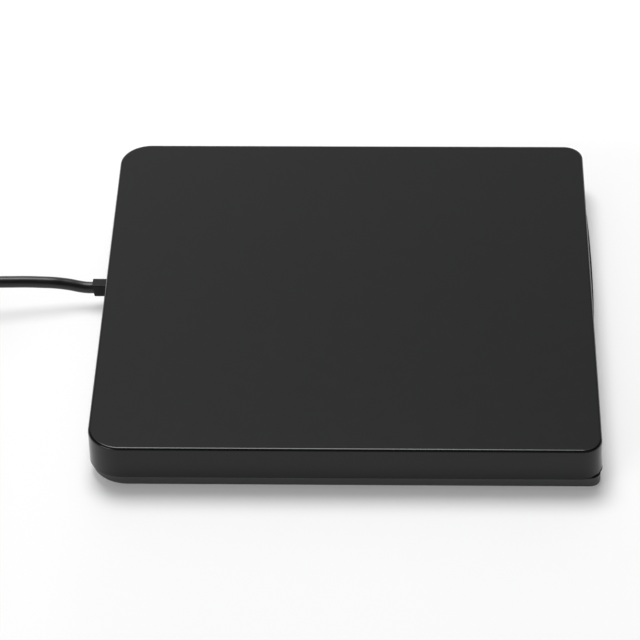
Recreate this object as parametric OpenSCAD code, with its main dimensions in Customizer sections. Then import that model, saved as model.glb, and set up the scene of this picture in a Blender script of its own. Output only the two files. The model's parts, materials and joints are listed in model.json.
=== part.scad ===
// External disc drive with a slide-out tray and a built-in cord, in millimetres.
// The tray opens towards +X, the cord leaves at -X and the feet stand on z = 0.

/* [Enclosure] */
// Wall thickness of the top cover
cover_wall = 1.8; // [1.2:0.1:2.4]
// Thickness of the cover's top
cover_top = 1.5; // [1:0.1:3]
// Rounding of the cover's top edge
cover_edge_r = 0.7; // [0.2:0.05:0.9]
// Outer corner radius at the cord end
rear_corner_r = 9.3; // [6:0.1:12]
// Outer corner radius at the tray end
front_corner_r = 5.8; // [4:0.1:7]
// Thickness of the base pan's floor
base_floor = 1.4; // [1.2:0.1:2.4]
// Height of the base pan's outer side below the seam
base_side_h = 3.2; // [2.8:0.1:3.4]
// Distance of the base pan's side inside the cover's side
base_inset = 0.4; // [0.2:0.05:0.8]
// Corner radius of the base pan at the cord end
base_rear_r = 10.7; // [7:0.1:12]
// Corner radius of the base pan at the tray end
base_front_r = 3.9; // [3.8:0.1:6]
// Rounding of the base pan's bottom edge
base_edge_r = 0.8; // [0.4:0.1:1.2]
// Height of the base pan's lip inside the cover
lap_h = 1.8; // [1:0.1:2.4]
// Thickness of that lip
lap_t = 1.0; // [0.8:0.1:1.2]
// Space between the drive and the cover at each side
side_bay = 6.45; // [6.2:0.05:10]
// Space between the drive and the cover at the cord end
rear_bay = 9.4; // [9.2:0.1:16]
// Space between the drive's top plate and the cover
head_gap = 0.6; // [0.3:0.1:3]

/* [Feet and screws] */
// Diameter of a rubber foot
foot_d = 10; // [6:0.5:14]
// Height of a foot below the base pan
foot_out = 1.0; // [0.6:0.1:3]
// Depth of a foot's recess
foot_recess = 0.5; // [0.3:0.1:0.7]
// Distance of a foot's centre from the shell's sides
foot_inset = 18; // [16:0.5:30]
// Diameter of a case screw
case_screw_d = 2.0; // [1.6:0.1:2.4]
// Diameter of a cover boss
boss_d = 4.2; // [3.8:0.1:4.6]
// Distance of a cover boss from the shell's ends
boss_inset = 14; // [12:0.5:18]

/* [Drive] */
// Height of the drive over its sheet metal
drive_h = 9.5; // [9.3:0.1:12.7]
// Height of the pads under the drive
drive_pad_h = 0.5; // [0.3:0.1:1.5]
// Thickness of the sheet metal
sheet = 0.5; // [0.4:0.05:0.7]
// Space under the tray for the flex cable
flex_gap = 1.2; // [1.1:0.1:1.4]
// Space behind the closed tray
rear_gap = 2.4; // [2.2:0.1:4]

/* [Tray] */
// Diameter of the disc
disc_d = 120; // [116:0.5:124]
// Space around the disc in its well
well_clear = 0.6; // [0.4:0.1:1.2]
// Depth of the hollow under the tray
tray_hollow = 3.2; // [3.1:0.1:3.4]
// Thickness of the tray's plate under the disc
tray_plate = 1.1; // [0.9:0.1:1.3]
// Depth of the disc well
well_depth = 2.0; // [1.6:0.1:2.4]
// Rim of the tray at its sides
side_rim = 1.0; // [0.8:0.1:2]
// Rim of the tray at its front
front_rim = 1.4; // [1:0.1:3]
// Rim of the tray at its rear
rear_rim = 2.0; // [1.6:0.1:4]
// How far the tray slides out
tray_travel = 126; // [100:1:128]

/* [Bezel] */
// Thickness of the bezel
bezel_t = 3.8; // [3.4:0.1:5]
// Gap around the bezel
bezel_gap = 0.25; // [0.15:0.05:0.5]
// Length of the raised bar
bar_len = 54; // [44:1:60]
// Height of the raised bar
bar_h = 5.4; // [5:0.1:6]
// How far the bar stands out
bar_out = 0.8; // [0.6:0.1:1.2]
// How far the bar's face falls back from its middle to its ends
bar_bow = 0.5; // [0.2:0.05:0.55]
// Centre of the bar across the bezel
bar_y = 17; // [12:0.5:22]
// Length of the eject button
button_len = 16; // [12:0.5:18]
// Height of the eject button
button_h = 3.2; // [2.8:0.1:3.6]
// Press travel of the eject button
button_travel = 0.4; // [0.2:0.05:0.6]

/* [Pickup] */
// Direction of the pickup's travel, from the tray's front
sled_angle = -45; // [-50:1:-40]
// Lens distance from the spindle with the sled parked
lens_park = 24; // [23.5:0.5:27]
// Travel of the sled
sled_travel = 33; // [25:0.5:33]
// Diameter of a guide rod
rod_d = 2.0; // [1.6:0.1:2.1]
// Lead of the screw that drives the sled
screw_lead = 3; // [2:0.5:4]
// Diameter of the turntable
table_d = 26; // [24:0.5:26.5]
// Diameter of the hub that centres the disc
hub_d = 14.8; // [14:0.1:15]
// Diameter of the objective lens
lens_d = 4; // [3:0.1:5]

/* [Cord] */
// Diameter of the cord
cord_d = 3.5; // [2.4:0.1:3.6]
// Width of the strain relief
boot_w = 3.7; // [3.6:0.1:5]
// Height of the strain relief
boot_h = 4.0; // [3.6:0.1:5]
// How far the strain relief stands out
boot_out = 4.35; // [3:0.05:6]
// Place of the strain relief across the rear
boot_y = 10.5; // [6:0.5:11]
// Turns of the coil
coil_turns = 3.25; // [3.25:1:5.25]
// Thickness of the coil's tie
tie_t = 0.6; // [0.4:0.1:1]

/* [Hidden] */
$fn = 64;
// Overlap of joined solids, gap of fixed pieces, gap of running pieces, and a cut's run past a face
eps = 0.01;
fit = 0.1;
run_fit = 0.05;
cut = 1;

// Levels, from the table up
base_z = foot_out;
floor_top = base_z + base_floor;
rim_z = base_z + base_side_h;
chassis_z = floor_top + drive_pad_h;
chassis_floor = chassis_z + sheet;
tray_z = chassis_floor + flex_gap;
shield_t = 0.3;
inner_z = tray_z + shield_t;
plate_under = tray_z + tray_hollow;
well_z = plate_under + tray_plate;
tray_top = well_z + well_depth;
disc_lift = 0.7;
disc_z = well_z + disc_lift;
lid_top = chassis_z + drive_h;
lid_z = lid_top - sheet;
ceiling_z = lid_top + head_gap;
top_z = ceiling_z + cover_top;

// Lengths along the tray's travel, from the cord end to the bezel
well_r = disc_d / 2 + well_clear;
tray_len = rear_rim + 2 * well_r + front_rim;
shell_len = cover_wall + rear_bay + sheet + rear_gap + tray_len + bezel_t;
shell_rear = -(shell_len + bar_out) / 2;
shell_front = shell_rear + shell_len;
tray_front = shell_front - bezel_t;
tray_rear = tray_front - tray_len;
spindle_x = tray_front - front_rim - well_r;
chassis_rear = tray_rear - rear_gap - sheet;
chassis_setback = 0.6;
chassis_front = tray_front - chassis_setback;

// Half widths, from the tray out to the cover
tray_half = well_r + side_rim;
rail_gap = 0.7;
rail_t = 0.7;
guide_back = 0.4;
rail_in = tray_half + rail_gap;
rail_out = rail_in + rail_t;
chassis_in = rail_out + fit + guide_back;
chassis_half = chassis_in + sheet;
shell_half = chassis_half + side_bay + cover_wall;
mouth_side = 1.2;
mouth_half = chassis_half + mouth_side;
bezel_half = mouth_half - bezel_gap;

// Mouth of the cover and the bezel in it
mouth_brow = 0.4;
mouth_top = ceiling_z - mouth_brow;
bezel_z = rim_z + bezel_gap;
bezel_top = mouth_top - bezel_gap;
bezel_chamfer = 0.3;
bar_drop = 0.6;
bar_z = (bezel_z + bezel_top) / 2 - bar_drop;
bezel_face = shell_front + bar_out;
bow_r = (bar_len * bar_len / 4 + bar_bow * bar_bow) / (2 * bar_bow);
bow_sides = 1440;

// Eject button, light and emergency hole on the bezel
button_gap = 0.2;
button_y = bar_y;
button_flange = 1.1;
flange_t = 0.8;
button_skin = 2.45;
button_pocket = bezel_t - button_skin;
button_side = 2.5;
button_head = 0.4;
light_from_bar = 20;
light_y = bar_y - light_from_bar;
light_w = 2.4;
light_h = 1.4;
light_face = bezel_face - bow_r + sqrt(bow_r * bow_r - light_from_bar * light_from_bar);
pin_hole_r = 0.6;

// Rails, their grooves in the tray and their guides
rail_h = 3;
rail_drop = 1.1;
rail_z = plate_under - rail_drop;
tongue_t = 0.8;
tongue_in = 0.7;
groove_gap = 0.2;
groove_half = tongue_t / 2 + groove_gap;
rail_setback = 0.5;
rail_short = 6;
rail_len = tray_len - rail_short;
groove_stop = 4;
guide_lip = 1.1;
guide_lip_t = 0.7;
guide_setback = 0.4;
guide_lap = 1;
guide_len = tray_len / 2 + guide_lap;

// Hollow under the tray
hollow_side = 3.2;
hollow_wall = 2.7;
hollow_half = tray_half - hollow_side;
hollow_front = tray_front - hollow_wall;
hollow_rear = tray_rear + rear_rim;

// Latch: a post on the chassis and a lever on the tray, drawn released
latch_open = 10;
post_r = 1.2;
post_back = 29;
post_inset = 3.9;
post_x = tray_front - post_back;
post_y = hollow_half - post_inset;
latch_arm = 14;
latch_offset = 1.5;
latch_x = post_x + latch_arm;
latch_y = post_y - latch_offset;
latch_pin_r = 1.0;
solenoid_offset = [1.5, 4.4];
lever_t = 1.2;
lever_gap = 0.3;
lever_z = inner_z + lever_gap;
lever_mid = lever_z + lever_t / 2;
lane_gap = 0.5;
post_lane = post_r + lane_gap;
pin_hole_offset = 2.6;
pin_hole_y = latch_y + pin_hole_offset;

// Tray board, behind the bezel
board_t = 0.8;
board_drop = 1.4;
board_gap = 1.0;
board_top = plate_under - board_drop;
board_front = hollow_front - board_gap;
board_len = 26;
board_rear = board_front - board_len;
board_margin = 9;
latch_room = 10;
board_y0 = button_y - board_margin;
board_y1 = latch_y - latch_room;
switch_h = 1.2;
switch_nub = 1.0;
switch_lap = 0.2;
stem_gap = button_travel + run_fit;
stem_z = board_top + switch_h / 2;

// Ejector pin with its spring, at the tray's rear
ejector_inset = 15.6;
ejector_y = ejector_inset - tray_half;
ejector_r = 0.75;
ejector_lift = 1.45;
ejector_z = inner_z + ejector_lift;
ejector_ratio = 0.08;
ejector_travel = ejector_ratio * tray_travel;
collar_r = 1.3;
collar_t = 1.0;
collar_gap = 0.3;
collar_x = hollow_rear + ejector_travel + collar_gap;
spring_len = 3.0;
rib_x = collar_x + collar_t + spring_len;
rib_t = 1.6;
rib_half = 2.5;
pin_tail = 1;
pin_gap = 0.2;
spring_wire_r = 0.2;
spring_coils = 3;

// Flex cable lane
flex_t = 0.15;
flex_y0 = 16;
flex_w = 16;
flex_y1 = flex_y0 + flex_w;
flex_low = chassis_floor + run_fit;
flex_high = tray_z - fit;
flex_inset = 1.5;
flex_spare = 0.5;
flex_end = hollow_rear + flex_inset;
flex_fold = flex_end + tray_travel / 2 + flex_spare;
connector_gap = 0.55;
connector_face = tray_rear - connector_gap;

// Traverse, in a frame with the spindle at its origin and the sled moving along +X
deck_t = 0.5;
deck_top = plate_under - fit;
deck_z = deck_top - deck_t;
lens_outer = lens_park + sled_travel;
sled_back = 10;
sled_fore = 4;
clip_len = 2.4;
sled_stop = 0.6;
deck_end = lens_outer + sled_fore + sled_stop + clip_len;
deck_start = -24;
deck_low = -22;
deck_high = 20;
window_low = -16.3;
window_high = 17.8;
clip_gap = 0.2;
window_end = deck_end - clip_len - clip_gap;
motor_gap = 0.3;
motor_hole_r = table_d / 2 + motor_gap;
motor_slot = 3;
table_gap = 1;
rod_r = rod_d / 2;
rod_drop = 1.2;
rod_z = deck_z - rod_drop;
press_gap = 0.02;
rod_main = -13;
rod_sub = 15;
rod_start = 8;
screw_y = -18.5;
screw_r = 0.9;
screw_offset = 0.15;
screw_start = -5;
screw_short = 1;
screw_end = lens_outer - screw_short;
journal_r = 0.45;
journal_len = 1.5;
bearing_gap = 0.4;
sled_gap = 0.2;
sled_drop = 0.3;
sled_side = 0.8;
sled_z = inner_z + sled_gap;
sled_top = plate_under - sled_drop;
follower_back = 8.5;
grommet_r = 3.0;
grommet_hole = 0.8;
grommet_neck = 2.15;
grommet_flange = 0.7;
deck_screw_r = 0.7;
grommets = [[-19, -15], [-19, 14], [34, 24], [34, -26]];
ear_r = 4.5;

// Spindle motor and turntable
table_r = table_d / 2;
stator_inset = 1;
stator_h = 1.4;
stator_r = table_r - stator_inset;
stator_z = inner_z + fit;
stator_top = stator_z + stator_h;
shaft_r = 1.0;
rotor_gap = 0.2;
rotor_z = stator_top + rotor_gap;
table_step = 0.6;
table_under = well_z - table_step;
pad_t = 0.3;
pad_inset_r = 0.4;
pad_hub_gap = 0.6;
table_top = disc_z - pad_t;
hub_r = hub_d / 2;
hub_rise = 1.6;
hub_top = disc_z + hub_rise;
hub_bevel = [0.9, 0.6];
ball_r = 0.8;
ball_out = 0.25;
ball_lift = 0.7;
ball_z = disc_z + ball_lift;

// Lens over the sled, with room for its focus travel
lens_gap = 0.35;
lens_z = sled_top + lens_gap;
lens_holder = [8, 9, 0.7];

// Screws and posts under the tray
small_screw_r = 0.7;
small_head_r = 1.6;
small_head_t = 0.5;
post_d = 4;
screw_short_of = 0.4;
bore_short_of = 0.2;
shield_edge = 0.2;
shield_room = 7;
shield_y1 = latch_y - shield_room;
shield_posts = [
    [hollow_rear + 6, 8],
    [hollow_rear + 36, shield_y1 - 4],
    [spindle_x - 10, 4.5 - hollow_half]
];
board_posts = [[board_front - 4, board_y0 + 22], [board_front - 20, board_y1 - 4]];

// Side screws of the drive and the tabs that they go through
tab_inset = 21;
tab_xs = [chassis_rear + tab_inset, chassis_front - tab_inset];
tab_t = 1.6;
tab_w = 8;
tab_drop = 4.2;
tab_top = lid_top - tab_drop;
pad_inset = 10;
pad_half = 3;
side_screw_lift = 2.5;
side_screw_z = chassis_z + side_screw_lift;
side_screw_r = 1.0;
side_head_r = 1.8;
side_head_t = 1.2;
lid_flange_h = 3;
lid_flange_t = 0.4;

// Cover bosses and feet
lip_gap = 0.15;
lip_out = cover_wall + lip_gap;
lip_in = lip_out + lap_t;
boss_gap = 0.2;
boss_y = shell_half - lip_in - boss_d / 2 - boss_gap;
boss_places = [for (x = [shell_rear + boss_inset, shell_front - boss_inset], s = [-1, 1]) [x, s * boss_y]];
case_screw_r = case_screw_d / 2;
case_head_out = 1;
case_head_r = case_screw_r + case_head_out;
case_head_t = 0.7;
case_screw_len = 6;
screw_gap = 0.2;
foot_places = [for (x = [shell_rear + foot_inset, shell_front - foot_inset], s = [-1, 1])
    [x, s * (shell_half - foot_inset)]];
foot_chamfer = 0.3;

// Bridge board at the cord end
boot_z = rim_z + fit;
boot_flange = 1.4;
boot_flange_t = 0.8;
boot_end = shell_rear - boot_out;
boot_face = shell_rear + cover_wall + fit + boot_flange_t;
bridge_t = 1.0;
bridge_lift = 0.7;
bridge_z = rim_z + bridge_lift;
bridge_top = bridge_z + bridge_t;
bridge_lip_gap = 0.6;
bridge_gap = 1.8;
bridge_x0 = shell_rear + cover_wall + lap_t + bridge_lip_gap;
bridge_x1 = chassis_rear - bridge_gap;
bridge_inset = [27.25, 24.25];
bridge_y0 = bridge_inset[0] - shell_half;
bridge_y1 = shell_half - bridge_inset[1];
bridge_hole_inset = [2, 5];
bore_floor = 0.5;
bridge_hole_x = bridge_x1 - bridge_hole_inset[0];
bridge_holes = [bridge_y0 + bridge_hole_inset[1], bridge_y1 - bridge_hole_inset[1]];
mate_gap = 1.4;
mate_x = chassis_rear - mate_gap;
plug_side = 1;
plug_y0 = flex_y0 - plug_side;
plug_y1 = flex_y1 + plug_side;
plug_h = 3.2;
plug_depth = 4;
leads = 4;
lead_r = 0.3;
lead_len = 3;

// Cord: the free stretch by hand, then a coil of two layers that spirals in and out again
cord_r = cord_d / 2;
cord_route = [[-76, 10.5, 6.3], [-78, 10.5, 6.3], [-80.5, 10.5, 6.7], [-83, 10.4, 7.4], [-85.5, 10.2, 8],
    [-88, 9.8, 8.6], [-92, 9.4, 9.1], [-96, 8.9, 9.6], [-100, 8.3, 10], [-104, 7.7, 10.4], [-108, 7.4, 10.4],
    [-112, 7.6, 9.9], [-116, 8.1, 8.9], [-119, 8.5, 8], [-122, 8.8, 7.1], [-124, 9, 6.5], [-126, 9, 6.5]];
coil_x = -130;
coil_y = -12;
coil_r = 21;
coil_space = 0.6;
coil_pitch = cord_d + coil_space;
coil_low = tie_t + cord_r;
coil_high = cord_route[len(cord_route) - 1][2];
coil_steps = 24;
coil_half = coil_turns / 2;
plug_tail = [[-151, -16, 2.3], [-151, -19, 2.8], [-151, -22, 3.5], [-151, -25, 4], [-151, -29, 4]];

// Plug, lying beside the coil and pointing towards -Y
plug_x = -151;
plug_z = 4;
plug_rear = -29;
relief_len = 9;
relief_r = 2.9;
plug_body_size = [15.6, 22, 8];
plug_shell_size = [12, 12, 4.5];
plug_shell_t = 0.3;
plug_tongue_t = 1.8;
tie_w = 6;
tie_gap = 0.3;
tongue_setback = 0.3;

// Box between two corners
module block(low, high) {
    translate(low) cube(high - low);
}

// Box between two corners given for the +Y side, drawn on the side of the sign
module side_block(side, low, high) {
    mirror([0, side < 0 ? 1 : 0, 0]) block(low, high);
}

// Round bar along +X from a point
module bar_x(start, r, length) {
    translate(start) rotate([0, 90, 0]) cylinder(r = r, h = length);
}

// Round bar along Y from a point, in the direction of the sign
module bar_across(start, r, length, side) {
    translate(start) rotate([-90 * side, 0, 0]) cylinder(r = r, h = length);
}

// Chip on a board, from the middle of its underside
module chip(place, size) {
    translate(place + [-size[0] / 2, -size[1] / 2, 0]) cube(size);
}

// Upright round post from a point
module post(start, r, length) {
    translate(start) cylinder(r = r, h = length);
}

// Slot outline with round ends, long in its first direction
module pill(length, height) {
    square([length - height, height], center = true);
    for (s = [-1, 1]) translate([s * (length - height) / 2, 0]) circle(d = height);
}

// Slot shape on the bezel, from one x to another
module bezel_pill(y, z, length, height, x0, x1) {
    translate([x0, y, z]) rotate([90, 0, 90]) linear_extrude(x1 - x0) pill(length, height);
}

// Outline of the shell, drawn in by an inset, with its own radii at the cord end and the tray end
module outline(inset, rear_r, front_r) {
    x0 = shell_rear + inset;
    x1 = shell_front - inset;
    half = shell_half - inset;
    translate([x0 + rear_r, -half]) square([x1 - x0 - rear_r - front_r, 2 * half]);
    translate([x0, -half + rear_r]) square([rear_r + cut, 2 * (half - rear_r)]);
    translate([x1 - front_r - cut, -half + front_r]) square([front_r + cut, 2 * (half - front_r)]);
    for (s = [-1, 1]) {
        translate([x0 + rear_r, s * (half - rear_r)]) circle(r = rear_r);
        translate([x1 - front_r, s * (half - front_r)]) circle(r = front_r);
    }
}

// Quarter round of an edge, outward and up
module edge_profile(r) {
    intersection() {
        circle(r = r);
        square(r);
    }
}

// Rounded edge of a length along +X from a point, turned about Z so that its round side looks outward
module edge_strip(start, turn, r, length) {
    translate(start) rotate(turn) rotate([90, 0, 90]) linear_extrude(length) edge_profile(r);
}

// Slab of the shell's outline with a rounded top edge
module slab(inset, rear_r, front_r, height, edge) {
    x0 = shell_rear + inset;
    x1 = shell_front - inset;
    half = shell_half - inset;
    level = height - edge;
    long = x1 - x0 - rear_r - front_r;
    linear_extrude(level) outline(inset, rear_r, front_r);
    linear_extrude(height) outline(inset + edge, rear_r - edge, front_r - edge);
    edge_strip([x0 + rear_r, half - edge, level], 0, edge, long);
    edge_strip([x1 - front_r, edge - half, level], 180, edge, long);
    edge_strip([x0 + edge, rear_r - half, level], 90, edge, 2 * (half - rear_r));
    edge_strip([x1 - edge, half - front_r, level], -90, edge, 2 * (half - front_r));
    for (s = [-1, 1]) {
        translate([x0 + rear_r, s * (half - rear_r), level])
            rotate_extrude() translate([rear_r - edge, 0]) edge_profile(edge);
        translate([x1 - front_r, s * (half - front_r), level])
            rotate_extrude() translate([front_r - edge, 0]) edge_profile(edge);
    }
}

// Places its children in the traverse's frame
module on_traverse() {
    translate([spindle_x, 0, 0]) rotate(sled_angle) children();
}

function unit(v) = v / norm(v);
function heading(path, i) = unit(path[min(i + 1, len(path) - 1)] - path[max(i - 1, 0)]);

// Tube of a given number of sides along a path; ref is a direction that the path never takes
module tube(path, r, sides, ref) {
    last = len(path) - 1;
    points = [for (i = [0:last])
        let (t = heading(path, i), s = unit(cross(ref, t)), u = cross(t, s))
        for (k = [0:sides - 1])
            path[i] + r * (cos(360 * k / sides) * s + sin(360 * k / sides) * u)];
    walls = [for (i = [0:last - 1], k = [0:sides - 1])
        let (a = i * sides + k, b = i * sides + (k + 1) % sides)
        each [[a, b, b + sides], [a, b + sides, a + sides]]];
    caps = [for (k = [1:sides - 2])
        each [[0, k + 1, k], [last * sides, last * sides + k, last * sides + k + 1]]];
    polyhedron(points, concat(walls, caps));
}

// Level of the coil after a number of turns: the upper layer, a half turn down, the lower layer
function coil_level(turn) =
    let (u = min(max((turn - coil_half) * 2 + 0.5, 0), 1))
    coil_high + (coil_low - coil_high) * (3 * u * u - 2 * u * u * u);
function coil_point(turn) =
    let (r = coil_r - coil_pitch * (coil_half - abs(turn - coil_half)), a = 90 + 360 * turn)
    [coil_x + r * cos(a), coil_y + r * sin(a), coil_level(turn)];
coil_wound = [for (i = [0:coil_turns * coil_steps]) coil_point(i / coil_steps)];
coil_path = concat([cord_route[len(cord_route) - 1]], coil_wound, plug_tail);
coil_gap = min([for (i = [0:len(coil_wound) - 1], j = [i + coil_steps / 2:len(coil_wound) - 1])
    norm(coil_wound[i] - coil_wound[j])]) - cord_d;
echo(least_gap_of_the_coil = coil_gap);

// Ejector spring as one helix round the pin, wound at an even pitch
spring_gap = 0.2;
spring_r = ejector_r + spring_gap + spring_wire_r;
spring_steps = 8;
spring_x = collar_x + collar_t + spring_wire_r + run_fit;
spring_run = spring_len - 2 * (spring_wire_r + run_fit);
spring_path = [for (i = [0:spring_coils * spring_steps])
    let (a = 360 * i / spring_steps)
    [spring_x + spring_run * i / (spring_coils * spring_steps),
        ejector_y + spring_r * cos(a), ejector_z + spring_r * sin(a)]];
echo(least_gap_of_the_spring = spring_run / spring_coils - 2 * spring_wire_r);

// Enclosure

module top_cover() {
    color([0.08, 0.08, 0.085]) {
        difference() {
            translate([0, 0, rim_z])
                slab(0, rear_corner_r, front_corner_r, top_z - rim_z, cover_edge_r);
            translate([0, 0, rim_z - cut]) linear_extrude(ceiling_z - rim_z + cut)
                outline(cover_wall, rear_corner_r - cover_wall, front_corner_r - cover_wall);
            block([shell_front - cover_wall - cut, -mouth_half, rim_z - cut],
                [shell_front + cut, mouth_half, mouth_top]);
            block([shell_rear - cut, boot_y - boot_w / 2 - fit, rim_z - cut],
                [shell_rear + cover_wall + cut, boot_y + boot_w / 2 + fit, boot_z + boot_h + fit]);
        }
        for (p = boss_places) difference() {
            post([p[0], p[1], floor_top + fit], boss_d / 2, ceiling_z - floor_top - fit + cover_top / 2);
            post([p[0], p[1], floor_top], case_screw_r + run_fit, case_screw_len);
        }
    }
}

module base_lip() {
    root = 0.5;
    translate([0, 0, rim_z - root]) linear_extrude(lap_h + root) difference() {
        outline(lip_out, rear_corner_r - lip_out, front_corner_r - lip_out);
        outline(lip_in, rear_corner_r - lip_in, front_corner_r - lip_in);
    }
}

module base_pan() {
    color([0.12, 0.12, 0.125]) {
        difference() {
            union() {
                translate([0, 0, rim_z]) mirror([0, 0, 1])
                    slab(base_inset, base_rear_r, base_front_r, base_side_h, base_edge_r);
                base_lip();
            }
            translate([0, 0, floor_top]) linear_extrude(base_side_h)
                outline(lip_in, rear_corner_r - lip_in, front_corner_r - lip_in);
            block([shell_front - lip_in - front_corner_r, -mouth_half, rim_z],
                [shell_front + cut, mouth_half, rim_z + lap_h + cut]);
            block([shell_rear - cut, boot_y - boot_w / 2 - boot_flange - fit, rim_z],
                [shell_rear + lip_in + cut, boot_y + boot_w / 2 + boot_flange + fit, rim_z + lap_h + cut]);
            for (p = foot_places) post([p[0], p[1], base_z - cut], foot_d / 2 + fit, foot_recess + cut);
            for (p = boss_places) {
                post([p[0], p[1], base_z - cut], case_screw_r + screw_gap, base_floor + 2 * cut);
                post([p[0], p[1], base_z - cut], case_head_r + screw_gap, case_head_t + fit + cut);
            }
        }
        for (x = tab_xs, s = [-1, 1]) {
            difference() {
                side_block(s, [x - tab_w / 2, chassis_half, floor_top - eps],
                    [x + tab_w / 2, chassis_half + tab_t, tab_top]);
                bar_across([x, s * (chassis_half - cut), side_screw_z], side_screw_r + fit,
                    tab_t + 2 * cut, s);
            }
            side_block(s, [x - tab_w / 2, chassis_half - pad_inset - pad_half, floor_top - eps],
                [x + tab_w / 2, chassis_half - pad_inset + pad_half, chassis_z]);
        }
        for (y = bridge_holes) difference() {
            post([bridge_hole_x, y, floor_top - eps], post_d / 2, bridge_z - floor_top + eps);
            post([bridge_hole_x, y, floor_top + bore_floor], small_screw_r + run_fit, bridge_z - floor_top);
        }
    }
}

module rubber_feet() {
    r = foot_d / 2;
    h = foot_out + foot_recess;
    color([0.15, 0.15, 0.15]) for (p = foot_places) translate([p[0], p[1], 0])
        rotate_extrude() polygon([[0, 0], [r - foot_chamfer, 0], [r, foot_chamfer], [r, h], [0, h]]);
}

module case_screws() {
    color([0.3, 0.3, 0.32]) for (p = boss_places) {
        post([p[0], p[1], base_z + fit], case_head_r, case_head_t);
        post([p[0], p[1], base_z + fit], case_screw_r, base_floor - fit + case_screw_len - screw_short_of);
    }
}

module cable_strain_relief() {
    half = boot_w / 2;
    color([0.1, 0.1, 0.1]) {
        block([boot_end, boot_y - half, boot_z], [boot_face, boot_y + half, boot_z + boot_h]);
        block([boot_face - boot_flange_t, boot_y - half - boot_flange, boot_z],
            [boot_face, boot_y + half + boot_flange, boot_z + boot_h + boot_flange]);
    }
}

module usb_leads() {
    pitch = boot_w / leads;
    color([0.75, 0.3, 0.2]) for (i = [0:leads - 1])
        bar_x([boot_face, boot_y + (i - (leads - 1) / 2) * pitch, bridge_top + lead_r], lead_r, lead_len);
}

module bridge_board() {
    color([0.1, 0.35, 0.2]) difference() {
        block([bridge_x0, bridge_y0, bridge_z], [bridge_x1, bridge_y1, bridge_top]);
        for (y = bridge_holes)
            post([bridge_hole_x, y, bridge_z - cut], small_screw_r + fit, bridge_t + 2 * cut);
    }
}

module bridge_chips() {
    mid = (bridge_x0 + bridge_x1) / 2;
    // Place across the board and size of the controller, the crystal and each of four small parts
    controller = [-10.5, [5, 7, 0.9]];
    crystal = [-20, [2, 4, 1]];
    small_parts = [for (i = [0:3]) [-3 + 2 * i, [1, 0.8, 0.6]]];
    color([0.12, 0.12, 0.12]) for (chip = concat([controller, crystal], small_parts))
        chip([mid, chip[0], bridge_top], chip[1]);
}

module bridge_connector() {
    color([0.2, 0.2, 0.22])
        block([mate_x - plug_depth, plug_y0, bridge_top], [mate_x, plug_y1, bridge_top + plug_h]);
}

module board_screws() {
    color([0.6, 0.6, 0.6]) for (y = bridge_holes) {
        low = floor_top + bore_floor + screw_short_of;
        post([bridge_hole_x, y, low], small_screw_r, bridge_top - low);
        post([bridge_hole_x, y, bridge_top], small_head_r, small_head_t);
    }
}

module drive_chassis() {
    color([0.72, 0.73, 0.75]) difference() {
        block([chassis_rear, -chassis_half, chassis_z], [chassis_front, chassis_half, lid_z]);
        block([chassis_rear + sheet, -chassis_in, chassis_floor],
            [chassis_front + cut, chassis_in, lid_z + cut]);
        block([chassis_rear - cut, plug_y0 - fit, bridge_top - fit],
            [chassis_rear + sheet + cut, plug_y1 + fit, bridge_top + plug_h + fit]);
        for (x = tab_xs, s = [-1, 1])
            bar_across([x, s * (chassis_in - cut), side_screw_z],
                       side_screw_r + run_fit, sheet + 2 * cut, s);
    }
}

module drive_top_plate() {
    color([0.75, 0.76, 0.78]) {
        block([chassis_rear, -chassis_half, lid_z], [chassis_front, chassis_half, lid_top]);
        for (s = [-1, 1])
            side_block(s, [chassis_rear, chassis_half, lid_top - lid_flange_h],
                [chassis_front, chassis_half + lid_flange_t, lid_top]);
    }
}

module drive_screws() {
    color([0.6, 0.6, 0.62]) for (x = tab_xs, s = [-1, 1]) {
        bar_across([x, s * (chassis_in + fit), side_screw_z], side_screw_r, sheet - fit + tab_t, s);
        bar_across([x, s * (chassis_half + tab_t), side_screw_z], side_head_r, side_head_t, s);
    }
}

module rail_guide(s) {
    low = rail_z - rail_h / 2 - fit;
    high = rail_z + rail_h / 2 + fit;
    color([0.2, 0.2, 0.22]) translate([chassis_front - guide_len - guide_setback, 0, 0]) {
        side_block(s, [0, chassis_in - guide_back, low - guide_lip_t],
            [guide_len, chassis_in, high + guide_lip_t]);
        for (z = [low - guide_lip_t, high])
            side_block(s, [0, chassis_in - guide_lip, z], [guide_len, chassis_in, z + guide_lip_t]);
    }
}

module rail_guide_left() {
    rail_guide(-1);
}

module rail_guide_right() {
    rail_guide(1);
}

module latch_post() {
    top = lever_z + lever_t - bore_short_of;
    color([0.7, 0.7, 0.72]) post([post_x, post_y, chassis_floor], post_r, top - chassis_floor);
}

module drive_connector() {
    color([0.15, 0.15, 0.16]) {
        block([mate_x, plug_y0, bridge_top], [connector_face, plug_y1, bridge_top + plug_h]);
        block([chassis_rear + sheet + fit, plug_y0, chassis_floor],
            [connector_face, plug_y1, bridge_top + plug_h]);
    }
}

module flex_cable() {
    bend = (flex_high - flex_low) / 2;
    color([0.85, 0.8, 0.65]) translate([0, flex_y1, 0]) rotate([90, 0, 0]) linear_extrude(flex_w) {
        translate([connector_face, flex_low]) square([flex_fold - connector_face, flex_t]);
        translate([flex_end, flex_high - flex_t]) square([flex_fold - flex_end, flex_t]);
        translate([flex_fold, flex_low + bend]) difference() {
            circle(r = bend);
            circle(r = bend - flex_t);
            translate([-2 * bend, -2 * bend]) square([2 * bend, 4 * bend]);
        }
    }
}

// Rails

module slide_rail(s) {
    x0 = tray_rear + rail_setback;
    color([0.3, 0.3, 0.32]) {
        side_block(s, [x0, rail_in, rail_z - rail_h / 2], [x0 + rail_len, rail_out, rail_z + rail_h / 2]);
        side_block(s, [x0, tray_half - tongue_in, rail_z - tongue_t / 2],
            [x0 + rail_len, rail_out, rail_z + tongue_t / 2]);
    }
}

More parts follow.
